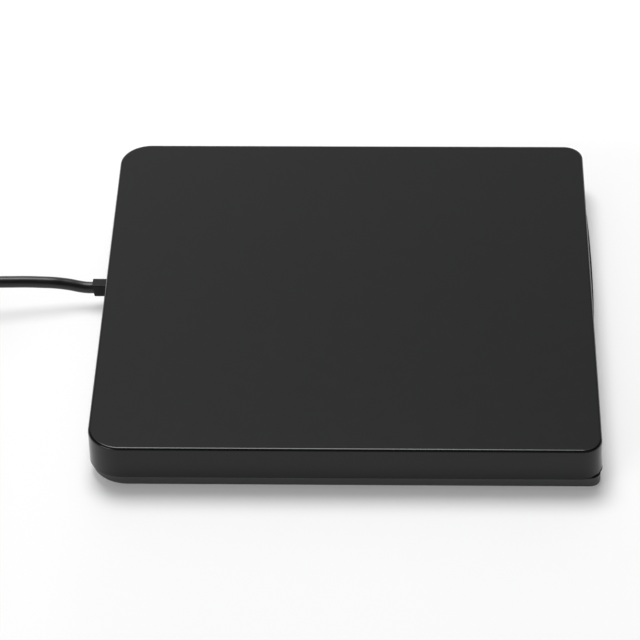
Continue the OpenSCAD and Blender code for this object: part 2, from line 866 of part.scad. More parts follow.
module slide_rail_left() {
    slide_rail(-1);
}

module slide_rail_right() {
    slide_rail(1);
}

// Tray

module tray_posts() {
    bore_top = plate_under - bore_short_of;
    for (p = shield_posts) difference() {
        post([p[0], p[1], inner_z], post_d / 2, plate_under - inner_z + eps);
        post([p[0], p[1], inner_z - cut], small_screw_r + run_fit, bore_top - inner_z + cut);
    }
    for (p = board_posts) difference() {
        post([p[0], p[1], board_top], post_d / 2, plate_under - board_top + eps);
        post([p[0], p[1], board_top - cut], small_screw_r + run_fit, bore_top - board_top + cut);
    }
    post([latch_x, latch_y, lever_z], latch_pin_r, plate_under - lever_z + eps);
    difference() {
        block([rib_x, ejector_y - rib_half, inner_z + fit],
            [rib_x + rib_t, ejector_y + rib_half, plate_under + eps]);
        bar_x([rib_x - cut, ejector_y, ejector_z], ejector_r + run_fit, rib_t + 2 * cut);
    }
}

module disc_tray() {
    color([0.1, 0.1, 0.11]) {
        difference() {
            block([tray_rear, -tray_half, tray_z], [tray_front, tray_half, tray_top]);
            post([spindle_x, 0, well_z], well_r, well_depth + cut);
            block([hollow_rear, -hollow_half, tray_z - cut], [hollow_front, hollow_half, plate_under]);
            post([spindle_x, 0, tray_z], table_r + table_gap, tray_top);
            on_traverse() block([0, window_low, tray_z], [window_end, window_high, tray_top]);
            for (s = [-1, 1])
                side_block(s, [tray_rear - cut, tray_half - tongue_in - groove_gap, rail_z - groove_half],
                    [tray_front - groove_stop, tray_half + cut, rail_z + groove_half]);
            block([hollow_front - cut, button_y - button_len / 2 - button_side, tray_z - cut],
                [tray_front + cut, button_y + button_len / 2 + button_side,
                bar_z + button_h / 2 + button_flange + button_head]);
            block([hollow_front - cut, light_y - light_w / 2 - fit, stem_z - light_h / 2 - fit],
                [tray_front + cut, light_y + light_w / 2 + fit, stem_z + light_h / 2 + fit]);
            bar_x([hollow_front - cut, pin_hole_y, lever_mid], pin_hole_r, hollow_wall + 2 * cut);
            block([tray_rear - cut, post_y - post_lane, tray_z - cut],
                [hollow_rear + cut, post_y + post_lane, lever_z + lever_t + lever_gap]);
            bar_x([tray_rear - cut, ejector_y, ejector_z], ejector_r + run_fit, rear_rim + 2 * cut);
            on_traverse() for (p = grommets)
                post([p[0], p[1], plate_under - cut], deck_screw_r + run_fit,
                    tray_plate - bore_short_of + cut);
        }
        tray_posts();
    }
}

module tray_bezel() {
    c = bezel_chamfer;
    color([0.07, 0.07, 0.075]) difference() {
        union() {
            translate([0, bezel_half, 0]) rotate([90, 0, 0]) linear_extrude(2 * bezel_half)
                polygon([[tray_front, bezel_z], [shell_front - c, bezel_z], [shell_front, bezel_z + c],
                    [shell_front, bezel_top - c], [shell_front - c, bezel_top], [tray_front, bezel_top]]);
            intersection() {
                bezel_pill(bar_y, bar_z, bar_len, bar_h, shell_front - bezel_t / 2, bezel_face);
                post([bezel_face - bow_r, bar_y, bezel_z], bow_r, bezel_top - bezel_z, $fn = bow_sides);
            }
        }
        bezel_pill(button_y, bar_z, button_len + 2 * button_gap, button_h + 2 * button_gap,
            tray_front - cut, bezel_face + cut);
        bezel_pill(button_y, bar_z, button_len + 2 * button_flange + 2 * button_gap,
            button_h + 2 * button_flange + 2 * button_gap, tray_front - cut, tray_front + button_pocket);
        block([tray_front - cut, light_y - light_w / 2 - fit, stem_z - light_h / 2 - fit],
            [bezel_face + cut, light_y + light_w / 2 + fit, stem_z + light_h / 2 + fit]);
        bar_x([tray_front - cut, pin_hole_y, lever_mid], pin_hole_r, bezel_t + 2 * cut);
    }
}

module light_pipe() {
    color([0.8, 0.85, 0.9]) block([board_front, light_y - light_w / 2, stem_z - light_h / 2],
        [light_face, light_y + light_w / 2, stem_z + light_h / 2]);
}

module tray_board() {
    color([0.1, 0.35, 0.2]) difference() {
        block([board_rear, board_y0, board_top - board_t], [board_front, board_y1, board_top]);
        for (p = board_posts)
            post([p[0], p[1], board_top - board_t - cut], small_screw_r + fit, board_t + 2 * cut);
    }
}

module tray_chips() {
    // Place on the board and size of the servo and the motor driver, and of the flex connector below
    servo = [[15.5, 12.5], [7, 7, 0.9]];
    driver = [[5.5, 6], [5, 4, 0.9]];
    socket = [1, 4];
    color([0.12, 0.12, 0.12]) {
        for (part = [servo, driver])
            chip([board_rear + part[0][0], board_y0 + part[0][1], board_top], part[1]);
        block([board_rear + socket[0], flex_y0, inner_z + flex_t],
            [board_rear + socket[1], flex_y1, board_top - board_t]);
    }
}

module eject_switch() {
    depth = 2.6;
    half = 3;
    nub_r = 0.5;
    front = board_front + switch_lap;
    color([0.25, 0.25, 0.27]) {
        block([front - depth, button_y - half, board_top], [front, button_y + half, board_top + switch_h]);
        bar_x([front, button_y, stem_z], nub_r, switch_nub);
    }
}

module tray_shield() {
    // Slot that the flex comes up through: its ends past the bend and its room at the sides
    slot_x = [1, 1.2];
    slot_side = 0.5;
    color([0.7, 0.7, 0.72]) difference() {
        block([hollow_rear + shield_edge, shield_edge - hollow_half, tray_z],
            [hollow_front - shield_edge, shield_y1, inner_z]);
        for (p = shield_posts) post([p[0], p[1], tray_z - cut], small_screw_r + fit, shield_t + 2 * cut);
        block([flex_end - slot_x[0], flex_y0 - slot_side, tray_z - cut],
            [flex_end + slot_x[1], flex_y1 + slot_side, inner_z + cut]);
    }
}

module tray_screws() {
    color([0.6, 0.6, 0.62]) {
        for (p = shield_posts)
            post([p[0], p[1], tray_z], small_screw_r, plate_under - tray_z - screw_short_of);
        for (p = board_posts) {
            low = board_top - board_t;
            post([p[0], p[1], low - small_head_t], small_head_r, small_head_t);
            post([p[0], p[1], low], small_screw_r, plate_under - low - screw_short_of);
        }
    }
}

module tray_flex() {
    lap = 5;
    color([0.85, 0.8, 0.65]) {
        block([flex_end, flex_y0, inner_z], [board_rear + lap, flex_y1, inner_z + flex_t]);
        block([flex_end, flex_y0, flex_high], [flex_end + flex_t, flex_y1, inner_z + flex_t]);
    }
}

module traverse_deck() {
    trim = 0.6;
    color([0.74, 0.75, 0.77]) difference() {
        intersection() {
            on_traverse() {
                block([deck_start, deck_low, deck_z], [deck_end, deck_high, deck_top]);
                for (p = grommets) post([p[0], p[1], deck_z], ear_r, deck_t);
            }
            block([hollow_rear + trim, trim - hollow_half, deck_z - cut],
                [hollow_front - trim, hollow_half, deck_top + cut]);
        }
        on_traverse() {
            post([0, 0, deck_z - cut], motor_hole_r, deck_t + 2 * cut);
            block([motor_hole_r - motor_slot, window_low, deck_z - cut],
                [window_end, window_high, deck_top + cut]);
            for (p = grommets) post([p[0], p[1], deck_z - cut], grommet_neck + run_fit, deck_t + 2 * cut);
        }
    }
}

module deck_grommets() {
    low = deck_z - grommet_flange;
    color([0.3, 0.3, 0.3]) on_traverse() for (p = grommets) difference() {
        union() {
            post([p[0], p[1], low], grommet_r, grommet_flange);
            post([p[0], p[1], low], grommet_neck, plate_under - low);
        }
        post([p[0], p[1], low - cut], grommet_hole, plate_under - low + 2 * cut);
    }
}

module deck_screws() {
    low = deck_z - grommet_flange;
    color([0.6, 0.6, 0.62]) on_traverse() for (p = grommets) {
        post([p[0], p[1], low - small_head_t], small_head_r, small_head_t);
        post([p[0], p[1], low], deck_screw_r, plate_under - low + tray_plate - screw_short_of);
    }
}

module spindle_motor() {
    // Three arms carry the motor from the deck, clear of the sled
    arm_angles = [100, 180, 260];
    arm_half = 1.5;
    arm_lift = 0.6;
    arm_in = table_r + 2 * motor_gap;
    arm_out = table_r + 3;
    color([0.45, 0.46, 0.48]) on_traverse() difference() {
        union() {
            post([0, 0, stator_z], stator_r, stator_h);
            for (a = arm_angles) rotate(a) {
                block([stator_r - cut, -arm_half, stator_z + arm_lift], [arm_out, arm_half, stator_top]);
                block([arm_in, -arm_half, stator_z + arm_lift], [arm_out, arm_half, deck_z]);
            }
        }
        post([0, 0, stator_z - cut], shaft_r + run_fit, stator_h + 2 * cut);
    }
}

module guide_rods() {
    color([0.8, 0.8, 0.82]) on_traverse() for (y = [rod_main, rod_sub])
        bar_x([rod_start, y, rod_z], rod_r, deck_end - rod_start);
}

module rod_clips() {
    wall = 0.8;
    half = rod_r + wall;
    color([0.2, 0.2, 0.22]) on_traverse() for (y = [rod_main, rod_sub], x = [rod_start, deck_end - clip_len])
        difference() {
            block([x, y - half, rod_z - rod_r], [x + clip_len, y + half, deck_z]);
            bar_x([x - cut, y, rod_z], rod_r + press_gap, clip_len + 2 * cut);
        }
}

module sled_motor() {
    // Round can with a flat top and bottom, and a bore for the screw's journal
    can_r = 2.4;
    can_len = 9;
    can_gap = 1;
    bore_len = 2;
    can_x1 = screw_start - can_gap;
    can_x0 = can_x1 - can_len;
    color([0.55, 0.56, 0.58]) on_traverse() difference() {
        intersection() {
            bar_x([can_x0, screw_y, rod_z], can_r, can_len);
            block([can_x0 - cut, screw_y - can_r, inner_z + fit], [can_x1 + cut, screw_y + can_r, deck_z]);
        }
        bar_x([can_x1 - bore_len, screw_y, rod_z], journal_r + run_fit, bore_len + cut);
    }
}

module screw_bearing() {
    depth = 2;
    half = 1.4;
    below = 0.9;
    x0 = screw_end + bearing_gap;
    color([0.2, 0.2, 0.22]) on_traverse() difference() {
        block([x0, screw_y - half, rod_z - below], [x0 + depth, screw_y + half, deck_z]);
        bar_x([x0 - cut, screw_y, rod_z], journal_r + run_fit, depth + 2 * cut);
    }
}

module latch_solenoid() {
    size = [8, 4.4, 2.6];
    x0 = latch_x + solenoid_offset[0];
    y1 = latch_y - solenoid_offset[1];
    color([0.6, 0.35, 0.2])
        block([x0, y1 - size[1], plate_under - size[2]], [x0 + size[0], y1, plate_under]);
}

module latch_spring() {
    // A coil round the latch's pin with one straight leg against the solenoid
    coil_out = 0.8;
    coil_low = lever_z + lever_t + spring_gap;
    leg_t = 0.5;
    leg_z = [coil_low + fit, plate_under - 4 * fit];
    color([0.8, 0.8, 0.82]) difference() {
        union() {
            post([latch_x, latch_y, coil_low], latch_pin_r + coil_out, plate_under - coil_low);
            block([latch_x, latch_y - solenoid_offset[1], leg_z[0]],
                [latch_x + leg_t, latch_y - latch_pin_r, leg_z[1]]);
        }
        post([latch_x, latch_y, lever_z], latch_pin_r + fit, plate_under - lever_z + cut);
    }
}

module ejector_spring() {
    color([0.8, 0.8, 0.82]) tube(spring_path, spring_wire_r, 6, [1, 0, 0]);
}

// Turntable

module turntable() {
    hub_h = hub_top - table_top;
    color([0.15, 0.15, 0.16]) on_traverse() {
        post([0, 0, stator_z + rotor_gap], shaft_r, rotor_z - stator_z - rotor_gap + eps);
        post([0, 0, rotor_z], stator_r, table_under - rotor_z);
        post([0, 0, table_under - eps], table_r, table_top - table_under + eps);
        difference() {
            translate([0, 0, table_top - eps]) rotate_extrude()
                polygon([[0, 0], [hub_r, 0], [hub_r, hub_h - hub_bevel[1]], [hub_r - hub_bevel[0], hub_h],
                    [0, hub_h]]);
            for (a = [0:120:240]) rotate(a)
                bar_x([hub_r - 2 * ball_r, 0, ball_z], ball_r + fit, 2 * ball_r + cut);
        }
    }
}

module turntable_pad() {
    color([0.25, 0.25, 0.25]) on_traverse() difference() {
        post([0, 0, table_top], table_r - pad_inset_r, pad_t);
        post([0, 0, table_top - cut], hub_r + pad_hub_gap, pad_t + 2 * cut);
    }
}

module hub_balls() {
    color([0.8, 0.8, 0.82]) on_traverse() for (a = [0:120:240]) rotate(a)
        translate([hub_r - ball_r + ball_out, 0, ball_z]) sphere(r = ball_r);
}

// Pickup sled

module pickup_sled() {
    fork_gap = 0.5;
    color([0.5, 0.5, 0.53]) on_traverse() translate([lens_park, 0, 0]) difference() {
        block([-sled_back, window_low + sled_side, sled_z], [sled_fore, window_high - sled_side, sled_top]);
        bar_x([-sled_back - cut, rod_main, rod_z], rod_r + run_fit, sled_back + sled_fore + 2 * cut);
        block([-sled_back - cut, rod_sub - rod_r - fork_gap, rod_z - rod_r - run_fit],
            [sled_fore + cut, window_high + cut, rod_z + rod_r + run_fit]);
    }
}

module laser_block() {
    // Low box behind the lens holder, on one side of the sled
    ends = [0.5 - sled_back, -lens_holder[0] / 2 - 0.6];
    sides = [-8, -2];
    height = 0.7;
    color([0.7, 0.65, 0.4]) on_traverse()
        block([lens_park + ends[0], sides[0], sled_top], [lens_park + ends[1], sides[1], sled_top + height]);
}

module sled_follower() {
    half = 1.5;
    screw_side = 0.3;
    thread_gap = 0.12;
    color([0.85, 0.85, 0.8]) on_traverse() translate([lens_park - follower_back, 0, 0]) difference() {
        block([-half, screw_y + screw_side, sled_z + fit],
              [half, window_low + sled_side, deck_z - sled_gap]);
        bar_x([-half - cut, screw_y, rod_z], screw_r + thread_gap, 2 * (half + cut));
    }
}

module lens_holder() {
    size = lens_holder;
    color([0.1, 0.1, 0.1]) on_traverse() translate([lens_park, 0, lens_z]) difference() {
        translate([-size[0] / 2, -size[1] / 2, 0]) cube(size);
        translate([0, 0, -cut]) cylinder(r = lens_d / 2 + press_gap, h = size[2] + 2 * cut);
    }
}

module objective_lens() {
    color([0.6, 0.7, 0.9]) on_traverse()
        post([lens_park, 0, lens_z + run_fit], lens_d / 2, lens_holder[2] + fit);
}

module lead_screw() {
    length = screw_end - screw_start;
    turns = length / screw_lead;
    color([0.8, 0.8, 0.82]) on_traverse() {
        translate([screw_start, screw_y, rod_z]) rotate([0, 90, 0])
            linear_extrude(length, twist = -360 * turns, slices = round(8 * turns), $fn = 8)
                translate([screw_offset, 0]) circle(r = screw_r - screw_offset);
        bar_x([screw_start - journal_len, screw_y, rod_z], journal_r, length + 2 * journal_len);
    }
}

module latch_lever() {
    // A boss on the pin, an arm with a hook round the post, and a tail that a pin in the bezel's hole pushes
    boss_r = 2.4;
    hook_far = post_r + 2.8;
    arm_near = post_r + 1;
    hook_near = post_r + 0.6;
    hook_tip = 0.8;
    tail_len = 7;
    tail_half = 1;
    tail_w = 1.5;
    tail_reach = 3.4;
    hook = [-latch_arm - hook_far, latch_offset - hook_far, 0];
    color([0.85, 0.85, 0.8]) translate([latch_x, latch_y, lever_z]) rotate(latch_open) difference() {
        union() {
            cylinder(r = boss_r, h = lever_t);
            block(hook, [0, latch_offset - arm_near, lever_t]);
            block(hook, [-latch_arm - hook_near, latch_offset + hook_tip, lever_t]);
            block([0, -tail_half, 0], [tail_len, tail_half, lever_t]);
            block([tail_len - tail_w, -tail_half, 0], [tail_len, tail_reach, lever_t]);
        }
        translate([0, 0, -cut]) cylinder(r = latch_pin_r + run_fit, h = lever_t + 2 * cut);
    }
}

module ejector_pin() {
    tip = chassis_rear + sheet + pin_gap;
    color([0.8, 0.8, 0.82]) {
        bar_x([tip, ejector_y, ejector_z], ejector_r, rib_x + rib_t + ejector_travel + pin_tail - tip);
        bar_x([collar_x, ejector_y, ejector_z], collar_r, collar_t);
    }
}

module eject_button() {
    flange_x = tray_front + button_pocket - fit - flange_t;
    stem_half = [1.5, 0.6];
    stem_end = board_front + switch_lap + switch_nub + stem_gap;
    color([0.09, 0.09, 0.095]) {
        bezel_pill(button_y, bar_z, button_len, button_h, flange_x, bezel_face);
        bezel_pill(button_y, bar_z, button_len + 2 * button_flange, button_h + 2 * button_flange,
            flange_x, flange_x + flange_t);
        block([stem_end, button_y - stem_half[0], stem_z - stem_half[1]],
            [flange_x + eps, button_y + stem_half[0], stem_z + stem_half[1]]);
    }
}

// Cord

module usb_cord() {
    color([0.06, 0.06, 0.06]) tube(cord_route, cord_r, 8, [0, 0, 1]);
}

module cord_coil() {
    color([0.06, 0.06, 0.06]) tube(coil_path, cord_r, 6, [0, 0, 1]);
}

module coil_tie() {
    room = cord_r + tie_gap;
    inner = [coil_y - coil_r - room, coil_y - coil_r + coil_pitch * coil_half + room];
    high = coil_high + room;
    color([0.05, 0.05, 0.05]) difference() {
        block([coil_x - tie_w / 2, inner[0] - tie_t, 0],
              [coil_x + tie_w / 2, inner[1] + tie_t, high + tie_t]);
        block([coil_x - tie_w, inner[0], tie_t], [coil_x + tie_w, inner[1], high]);
    }
}

module plug_body() {
    size = plug_body_size;
    color([0.07, 0.07, 0.07]) {
        bar_across([plug_x, plug_rear, plug_z], relief_r, relief_len + cut, -1);
        translate([plug_x, plug_rear - relief_len, plug_z]) rotate([90, 0, 0])
            linear_extrude(size[1]) pill(size[0], size[2]);
    }
}

module plug_shell() {
    size = plug_shell_size;
    front = plug_rear - relief_len - plug_body_size[1];
    half = size[0] / 2;
    color([0.78, 0.79, 0.8]) difference() {
        block([plug_x - half, front - size[1], plug_z - size[2] / 2],
            [plug_x + half, front, plug_z + size[2] / 2]);
        block([plug_x - half + plug_shell_t, front - size[1] - cut, plug_z - size[2] / 2 + plug_shell_t],
            [plug_x + half - plug_shell_t, front - plug_shell_t, plug_z + size[2] / 2 - plug_shell_t]);
    }
}

module plug_tongue() {
    size = plug_shell_size;
    front = plug_rear - relief_len - plug_body_size[1];
    half = size[0] / 2 - plug_shell_t;
    top = plug_z + size[2] / 2 - plug_shell_t;
    color([0.9, 0.9, 0.9]) block([plug_x - half, front - size[1] + tongue_setback, top - plug_tongue_t],
        [plug_x + half, front - plug_shell_t, top]);
}

top_cover();
base_pan();
rubber_feet();
case_screws();
cable_strain_relief();
usb_leads();
bridge_board();
bridge_chips();
bridge_connector();
board_screws();
drive_chassis();
drive_top_plate();
drive_screws();
rail_guide_left();
rail_guide_right();
latch_post();
drive_connector();
flex_cable();
slide_rail_left();
slide_rail_right();
disc_tray();
tray_bezel();
light_pipe();
tray_board();
tray_chips();
eject_switch();
tray_shield();
tray_screws();
tray_flex();
traverse_deck();
deck_grommets();
deck_screws();
spindle_motor();
guide_rods();
rod_clips();
sled_motor();
screw_bearing();
latch_solenoid();
latch_spring();
ejector_spring();
turntable();
turntable_pad();
hub_balls();
pickup_sled();
laser_block();
sled_follower();
lens_holder();
objective_lens();
lead_screw();
latch_lever();
ejector_pin();
eject_button();
usb_cord();
cord_coil();
coil_tie();
plug_body();
plug_shell();
plug_tongue();
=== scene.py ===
import json
from math import ceil, copysign, cos, pi, radians, sin, tau

import bmesh
import bpy
from mathutils import Matrix, Vector


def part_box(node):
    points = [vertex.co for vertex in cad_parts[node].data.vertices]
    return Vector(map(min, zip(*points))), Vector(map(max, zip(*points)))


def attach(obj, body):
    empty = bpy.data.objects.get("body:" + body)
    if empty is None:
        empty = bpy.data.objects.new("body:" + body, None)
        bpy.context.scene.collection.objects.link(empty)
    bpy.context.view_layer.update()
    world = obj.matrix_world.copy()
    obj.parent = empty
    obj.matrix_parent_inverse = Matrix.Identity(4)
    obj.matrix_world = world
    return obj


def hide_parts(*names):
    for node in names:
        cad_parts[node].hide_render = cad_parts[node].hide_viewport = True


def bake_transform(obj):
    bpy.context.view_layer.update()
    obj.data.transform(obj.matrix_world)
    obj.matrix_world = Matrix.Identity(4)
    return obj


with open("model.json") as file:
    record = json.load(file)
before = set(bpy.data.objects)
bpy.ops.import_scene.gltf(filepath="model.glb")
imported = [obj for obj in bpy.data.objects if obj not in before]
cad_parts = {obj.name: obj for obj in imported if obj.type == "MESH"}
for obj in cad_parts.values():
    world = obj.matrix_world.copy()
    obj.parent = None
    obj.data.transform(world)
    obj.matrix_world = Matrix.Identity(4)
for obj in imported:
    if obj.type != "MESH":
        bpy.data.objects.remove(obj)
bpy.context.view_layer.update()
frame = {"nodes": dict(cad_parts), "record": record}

# Slim disc drive in a low case with a short cord. Lengths are in millimetres until a piece is made.
MM = 0.001
SLOT_OF = {row["node"]: row["material_slot"] for row in frame["record"]["subparts"]}
BODY_OF = {node: body for body, nodes in frame["record"]["behaviour"]["bodies"].items() for node in nodes}
TONE_OF = {row["slot"]: tuple(row["base_color"][:3]) for row in frame["record"]["materials"]}

# Case
CASE_REAR, CASE_FRONT, CASE_HALF = -71.65, 70.85, 72.25
CASE_RIM, CASE_TOP, CASE_CEILING = 4.2, 14.5, 13.0
COVER_WALL, COVER_EDGE = 1.8, 0.85
COVER_REAR_R, COVER_FRONT_R = 9.3, 5.8
DRAFT_TOP, DRAFT_OUT = 9.6, 0.42
# Painted shade: how high and where the band without reflection runs along the cover's rim, standing in for the
# seam's shadow gap
SEAM_SHADE_LOW, SEAM_SHADE_HIGH, SEAM_SHADE_BLUR, SEAM_SHADE_RISE, SEAM_SHADE_START = 0.26, 0.85, 0.05, (-1.1, 0.1), (-6.0, -2.0)
BASE_OUT, BASE_OUT_FROM, BASE_CORNER_R, BASE_CORNER_OUT = 0.25, 4.0, 3.9, 0.5
MOUTH_HALF, MOUTH_TOP = 65.2, 12.6
BOSS_XS, BOSS_Y, BOSS_R, BOSS_LOW = (-57.65, 56.85), 67.0, 2.1, 2.5
BOSS_BORE, BOSS_BORE_TOP, BOSS_SUNK = 0.9, 8.2, 0.2
FOOT_XS, FOOT_Y, FOOT_R, FOOT_TOP = (-53.65, 52.85), 54.25, 5.0, 1.5
BOOT_Y, BOOT_HALF, BOOT_GAP, BOOT_NOTCH_TOP = 10.5, 1.85, 0.1, 8.4
BOOT_LEAN, BOOT_END = 0.14, 0.5

# Cord, coil and plug
CORD_D, CORD_LENGTH = 3.5, 433.0
CORD_ROUTE = [
    (-76, 10.5, 6.3), (-78, 10.5, 6.3), (-80.5, 10.5, 6.7), (-83, 10.4, 7.4), (-85.5, 10.2, 8), (-88, 9.8, 8.6),
    (-92, 9.4, 9.1), (-96, 8.9, 9.6), (-100, 8.3, 10), (-104, 7.7, 10.4), (-108, 7.4, 10.4), (-112, 7.6, 9.9),
    (-115, 8, 9.2), (-117.5, 8.3, 8.3), (-120, 8.6, 7.5), (-122, 8.8, 7), (-124, 8.95, 6.65), (-126, 9, 6.5),
]
PLUG_TAIL = [(-151, -16, 2.3), (-151, -19, 2.8), (-151, -22, 3.5), (-151, -25, 4), (-151, -29, 4)]
COIL_X, COIL_Y, COIL_R, COIL_PITCH, COIL_TURNS, COIL_STEPS = -130, -12, 21, 4.1, 3.25, 24
COIL_HIGH, COIL_LOW, COIL_DROP_TURNS = 6.5, 2.35, 0.5
PLUG_X, PLUG_Z = -151, 4
RELIEF_BACK, GRIP_BACK, SHELL_BACK, PLUG_TIP = -29, -38, -60, -72


# Shading


class Link:
    """An output socket that takes part in plain arithmetic."""

    def __init__(self, shader, socket):
        self.shader = shader
        self.socket = socket

    def __add__(self, other):
        return self.shader.maths("ADD", self, other)

    def __sub__(self, other):
        return self.shader.maths("SUBTRACT", self, other)

    def __rsub__(self, other):
        return self.shader.maths("SUBTRACT", other, self)

    def __mul__(self, other):
        return self.shader.maths("MULTIPLY", self, other)

    __radd__ = __add__
    __rmul__ = __mul__


class Shader:
    """A node tree filled by plain calls."""

    def __init__(self, tree):
        self.tree = tree
        tree.nodes.clear()

    def node(self, kind, settings=None, sockets=None, output=0):
        made = self.tree.nodes.new("ShaderNode" + kind)
        for name, value in (settings or {}).items():
            setattr(made, name, value)
        for name, value in (sockets or {}).items():
            self.plug(made.inputs[name], value)
        return Link(self, made.outputs[output]) if made.outputs else None

    def plug(self, socket, value):
        if isinstance(value, Link):
            self.tree.links.new(value.socket, socket)
        else:
            socket.default_value = value

    def maths(self, operation, *values):
        return self.node("Math", {"operation": operation}, dict(enumerate(values)))

    def axis(self, vector, name):
        """One part of a vector."""
        return self.node("SeparateXYZ", sockets={0: vector}, output=name)

    def ease(self, value, low, high):
        """0 at low, 1 at high, smooth between and level past them."""
        sockets = {"Value": value, "From Min": low, "From Max": high}
        return self.node("MapRange", {"interpolation_type": "SMOOTHSTEP"}, sockets)

    def between(self, share, first, second):
        """A colour that goes from first to second."""
        return self.node("Mix", {"data_type": "RGBA"}, {0: share, 6: (*first, 1), 7: (*second, 1)}, 2)


class Finish(Shader):
    """A surface finish whose detail comes from patterns in the object's own space."""

    def __init__(self, name, constants):
        self.material = bpy.data.materials.new(name)
        self.material.use_nodes = True
        super().__init__(self.material.node_tree)
        self.surface = self.node("BsdfPrincipled", sockets=constants)
        self.output(self.surface)
        self.place = self.node("TexCoord", output="Object")

    def output(self, surface):
        """Makes a shader the one that shows."""
        for made in [made for made in self.tree.nodes if made.type == "OUTPUT_MATERIAL"]:
            self.tree.nodes.remove(made)
        self.node("OutputMaterial", sockets={"Surface": surface})

    def stretched(self, stretch):
        return self.node("VectorMath", {"operation": "MULTIPLY"}, {0: self.place, 1: stretch})

    def noise(self, size, detail=2.0, stretch=None):
        """Cloudy pattern from 0 to 1 with patches about size millimetres wide."""
        place = self.stretched(stretch) if stretch else self.place
        return self.node("TexNoise", sockets={"Vector": place, "Scale": 1 / (size * MM), "Detail": detail})

    def cells(self, size, feature="F1", output="Distance"):
        """Cell pattern with cells about size millimetres wide."""
        sockets = {"Vector": self.place, "Scale": 1 / (size * MM)}
        return self.node("TexVoronoi", {"feature": feature}, sockets, output)

    def feed(self, sockets):
        for name, value in sockets.items():
            self.plug(self.surface.socket.node.inputs[name], value)

    def bump(self, height, depth):
        """Relief of a height pattern, depth millimetres from 0 to 1."""
        self.feed({"Normal": self.node("Bump", sockets={"Distance": depth * MM, "Height": height})})


def shade(tone, share):
    """A colour share times as bright."""
    return tuple(part * share for part in tone)


def gloss_cover():
    """Piano gloss with painted shade along the rim on the tray's side: a band without reflection that stands in for
    the shadow of the seam gap.
    """
    finish = Finish("gloss_cover", {"IOR": 1.37})
    flow = finish.noise(26, 3)
    polish = finish.noise(5, 2)
    along, up = finish.axis(finish.place, "X"), finish.axis(finish.place, "Z")
    front = CASE_FRONT * MM
    rise, start = ([front + limit * MM for limit in limits] for limits in (SEAM_SHADE_RISE, SEAM_SHADE_START))
    # Painted shade: below this rising line the cover loses its reflection, as if in the seam's shadow
    painted_seam_shade_top = SEAM_SHADE_LOW * MM + (SEAM_SHADE_HIGH - SEAM_SHADE_LOW) * MM * finish.ease(along, *rise)
    painted_seam_shade = finish.ease(up - CASE_RIM * MM - painted_seam_shade_top, SEAM_SHADE_BLUR * MM, -SEAM_SHADE_BLUR * MM)
    painted_seam_shade = painted_seam_shade * finish.ease(along, *start)
    tone = finish.between(flow, (0.0034, 0.0037, 0.0045), (0.0044, 0.0047, 0.0056))
    finish.feed({"Base Color": tone, "Roughness": 0.1 + 0.06 * polish})
    finish.bump(finish.noise(2.2, 1), 0.0004)
    # Shaded copy of the gloss with no reflection, used for the painted seam shade
    seam_shade_surface = finish.node("BsdfPrincipled", sockets={"Base Color": tone, "Specular IOR Level": 0.0})
    finish.output(finish.node("MixShader", sockets={0: painted_seam_shade, 1: finish.surface, 2: seam_shade_surface}))
    return finish


def satin_base():
    finish = Finish("satin_base", {"IOR": 1.45})
    patch = finish.noise(14, 3)
    grain = finish.noise(0.35, 2)
    finish.feed({
        "Base Color": finish.between(patch, (0.029, 0.0292, 0.0296), (0.036, 0.0362, 0.0368)),
        "Roughness": 0.38 + 0.12 * grain,
    })
    finish.bump(grain, 0.012)
    return finish


def rubber(name, dark, pale, rough, depth, index=1.48):
    """Soft moulded rubber or cord jacket: dull, with fine pores and a dusty mottle."""
    finish = Finish(name, {"IOR": index})
    dust = finish.noise(4, 4)
    pores = finish.noise(0.3, 2)
    finish.feed({
        "Base Color": finish.between(dust, dark, pale),
        "Roughness": rough + 0.16 * dust,
    })
    finish.bump(pores, depth)
    return finish


def foot_rubber():
    return rubber("foot_rubber", (0.020, 0.020, 0.020), (0.034, 0.034, 0.034), 0.62, 0.02)


def boot_rubber():
    return rubber("boot_rubber", (0.0022, 0.0022, 0.0023), (0.0034, 0.0034, 0.0035), 0.34, 0.006, 1.28)


def cord_jacket():
    return rubber("cord_jacket", (0.0060, 0.0059, 0.0059), (0.0088, 0.0087, 0.0087), 0.25, 0.004, 1.44)


def plug_black():
    return rubber("plug_black", (0.010, 0.010, 0.010), (0.015, 0.015, 0.0153), 0.34, 0.008)


def moulded(slot, spread, rough, depth, grain_size=0.4):
    """Moulded plastic in the slot's own colour with a spark-eroded grain."""
    finish = Finish(slot, {"IOR": 1.47})
    tone = TONE_OF[slot]
    flow = finish.noise(9, 3)
    grain = finish.noise(grain_size, 2)
    finish.feed({
        "Base Color": finish.between(flow, shade(tone, 1 - spread), shade(tone, 1 + spread)),
        "Roughness": rough + 0.14 * grain,
    })
    finish.bump(grain, depth)
    return finish


def chip_black():
    return moulded("chip_black", 0.18, 0.5, 0.008, 0.25)


def guide_plastic():
    return moulded("guide_plastic", 0.15, 0.42, 0.006)


def tray_plastic():
    return moulded("tray_plastic", 0.16, 0.44, 0.012, 0.5)


def turntable_black():
    return moulded("turntable_black", 0.15, 0.38, 0.005)


def lever_plastic():
    return moulded("lever_plastic", 0.06, 0.4, 0.004)


def plug_white():
    return moulded("plug_white", 0.05, 0.42, 0.004)


def brushed(slot, rough, stretch, depth, share=1.0):
    """Drawn or turned metal with fine lines along one way and a cloudy sheen."""
    finish = Finish(slot, {"Metallic": 1.0})
    tone = shade(TONE_OF[slot], share)
    sheen = finish.noise(6, 3)
    lines = finish.noise(0.5, 3, stretch)
    finish.feed({
        "Base Color": finish.between(sheen, shade(tone, 0.86), shade(tone, 1.06)),
        "Roughness": rough + 0.14 * lines,
    })
    finish.bump(lines, depth)
    return finish


def screw_steel():
    return brushed("screw_steel", 0.3, (1, 1, 0.3), 0.002)


def rail_steel():
    return brushed("rail_steel", 0.26, (0.04, 1, 1), 0.002)


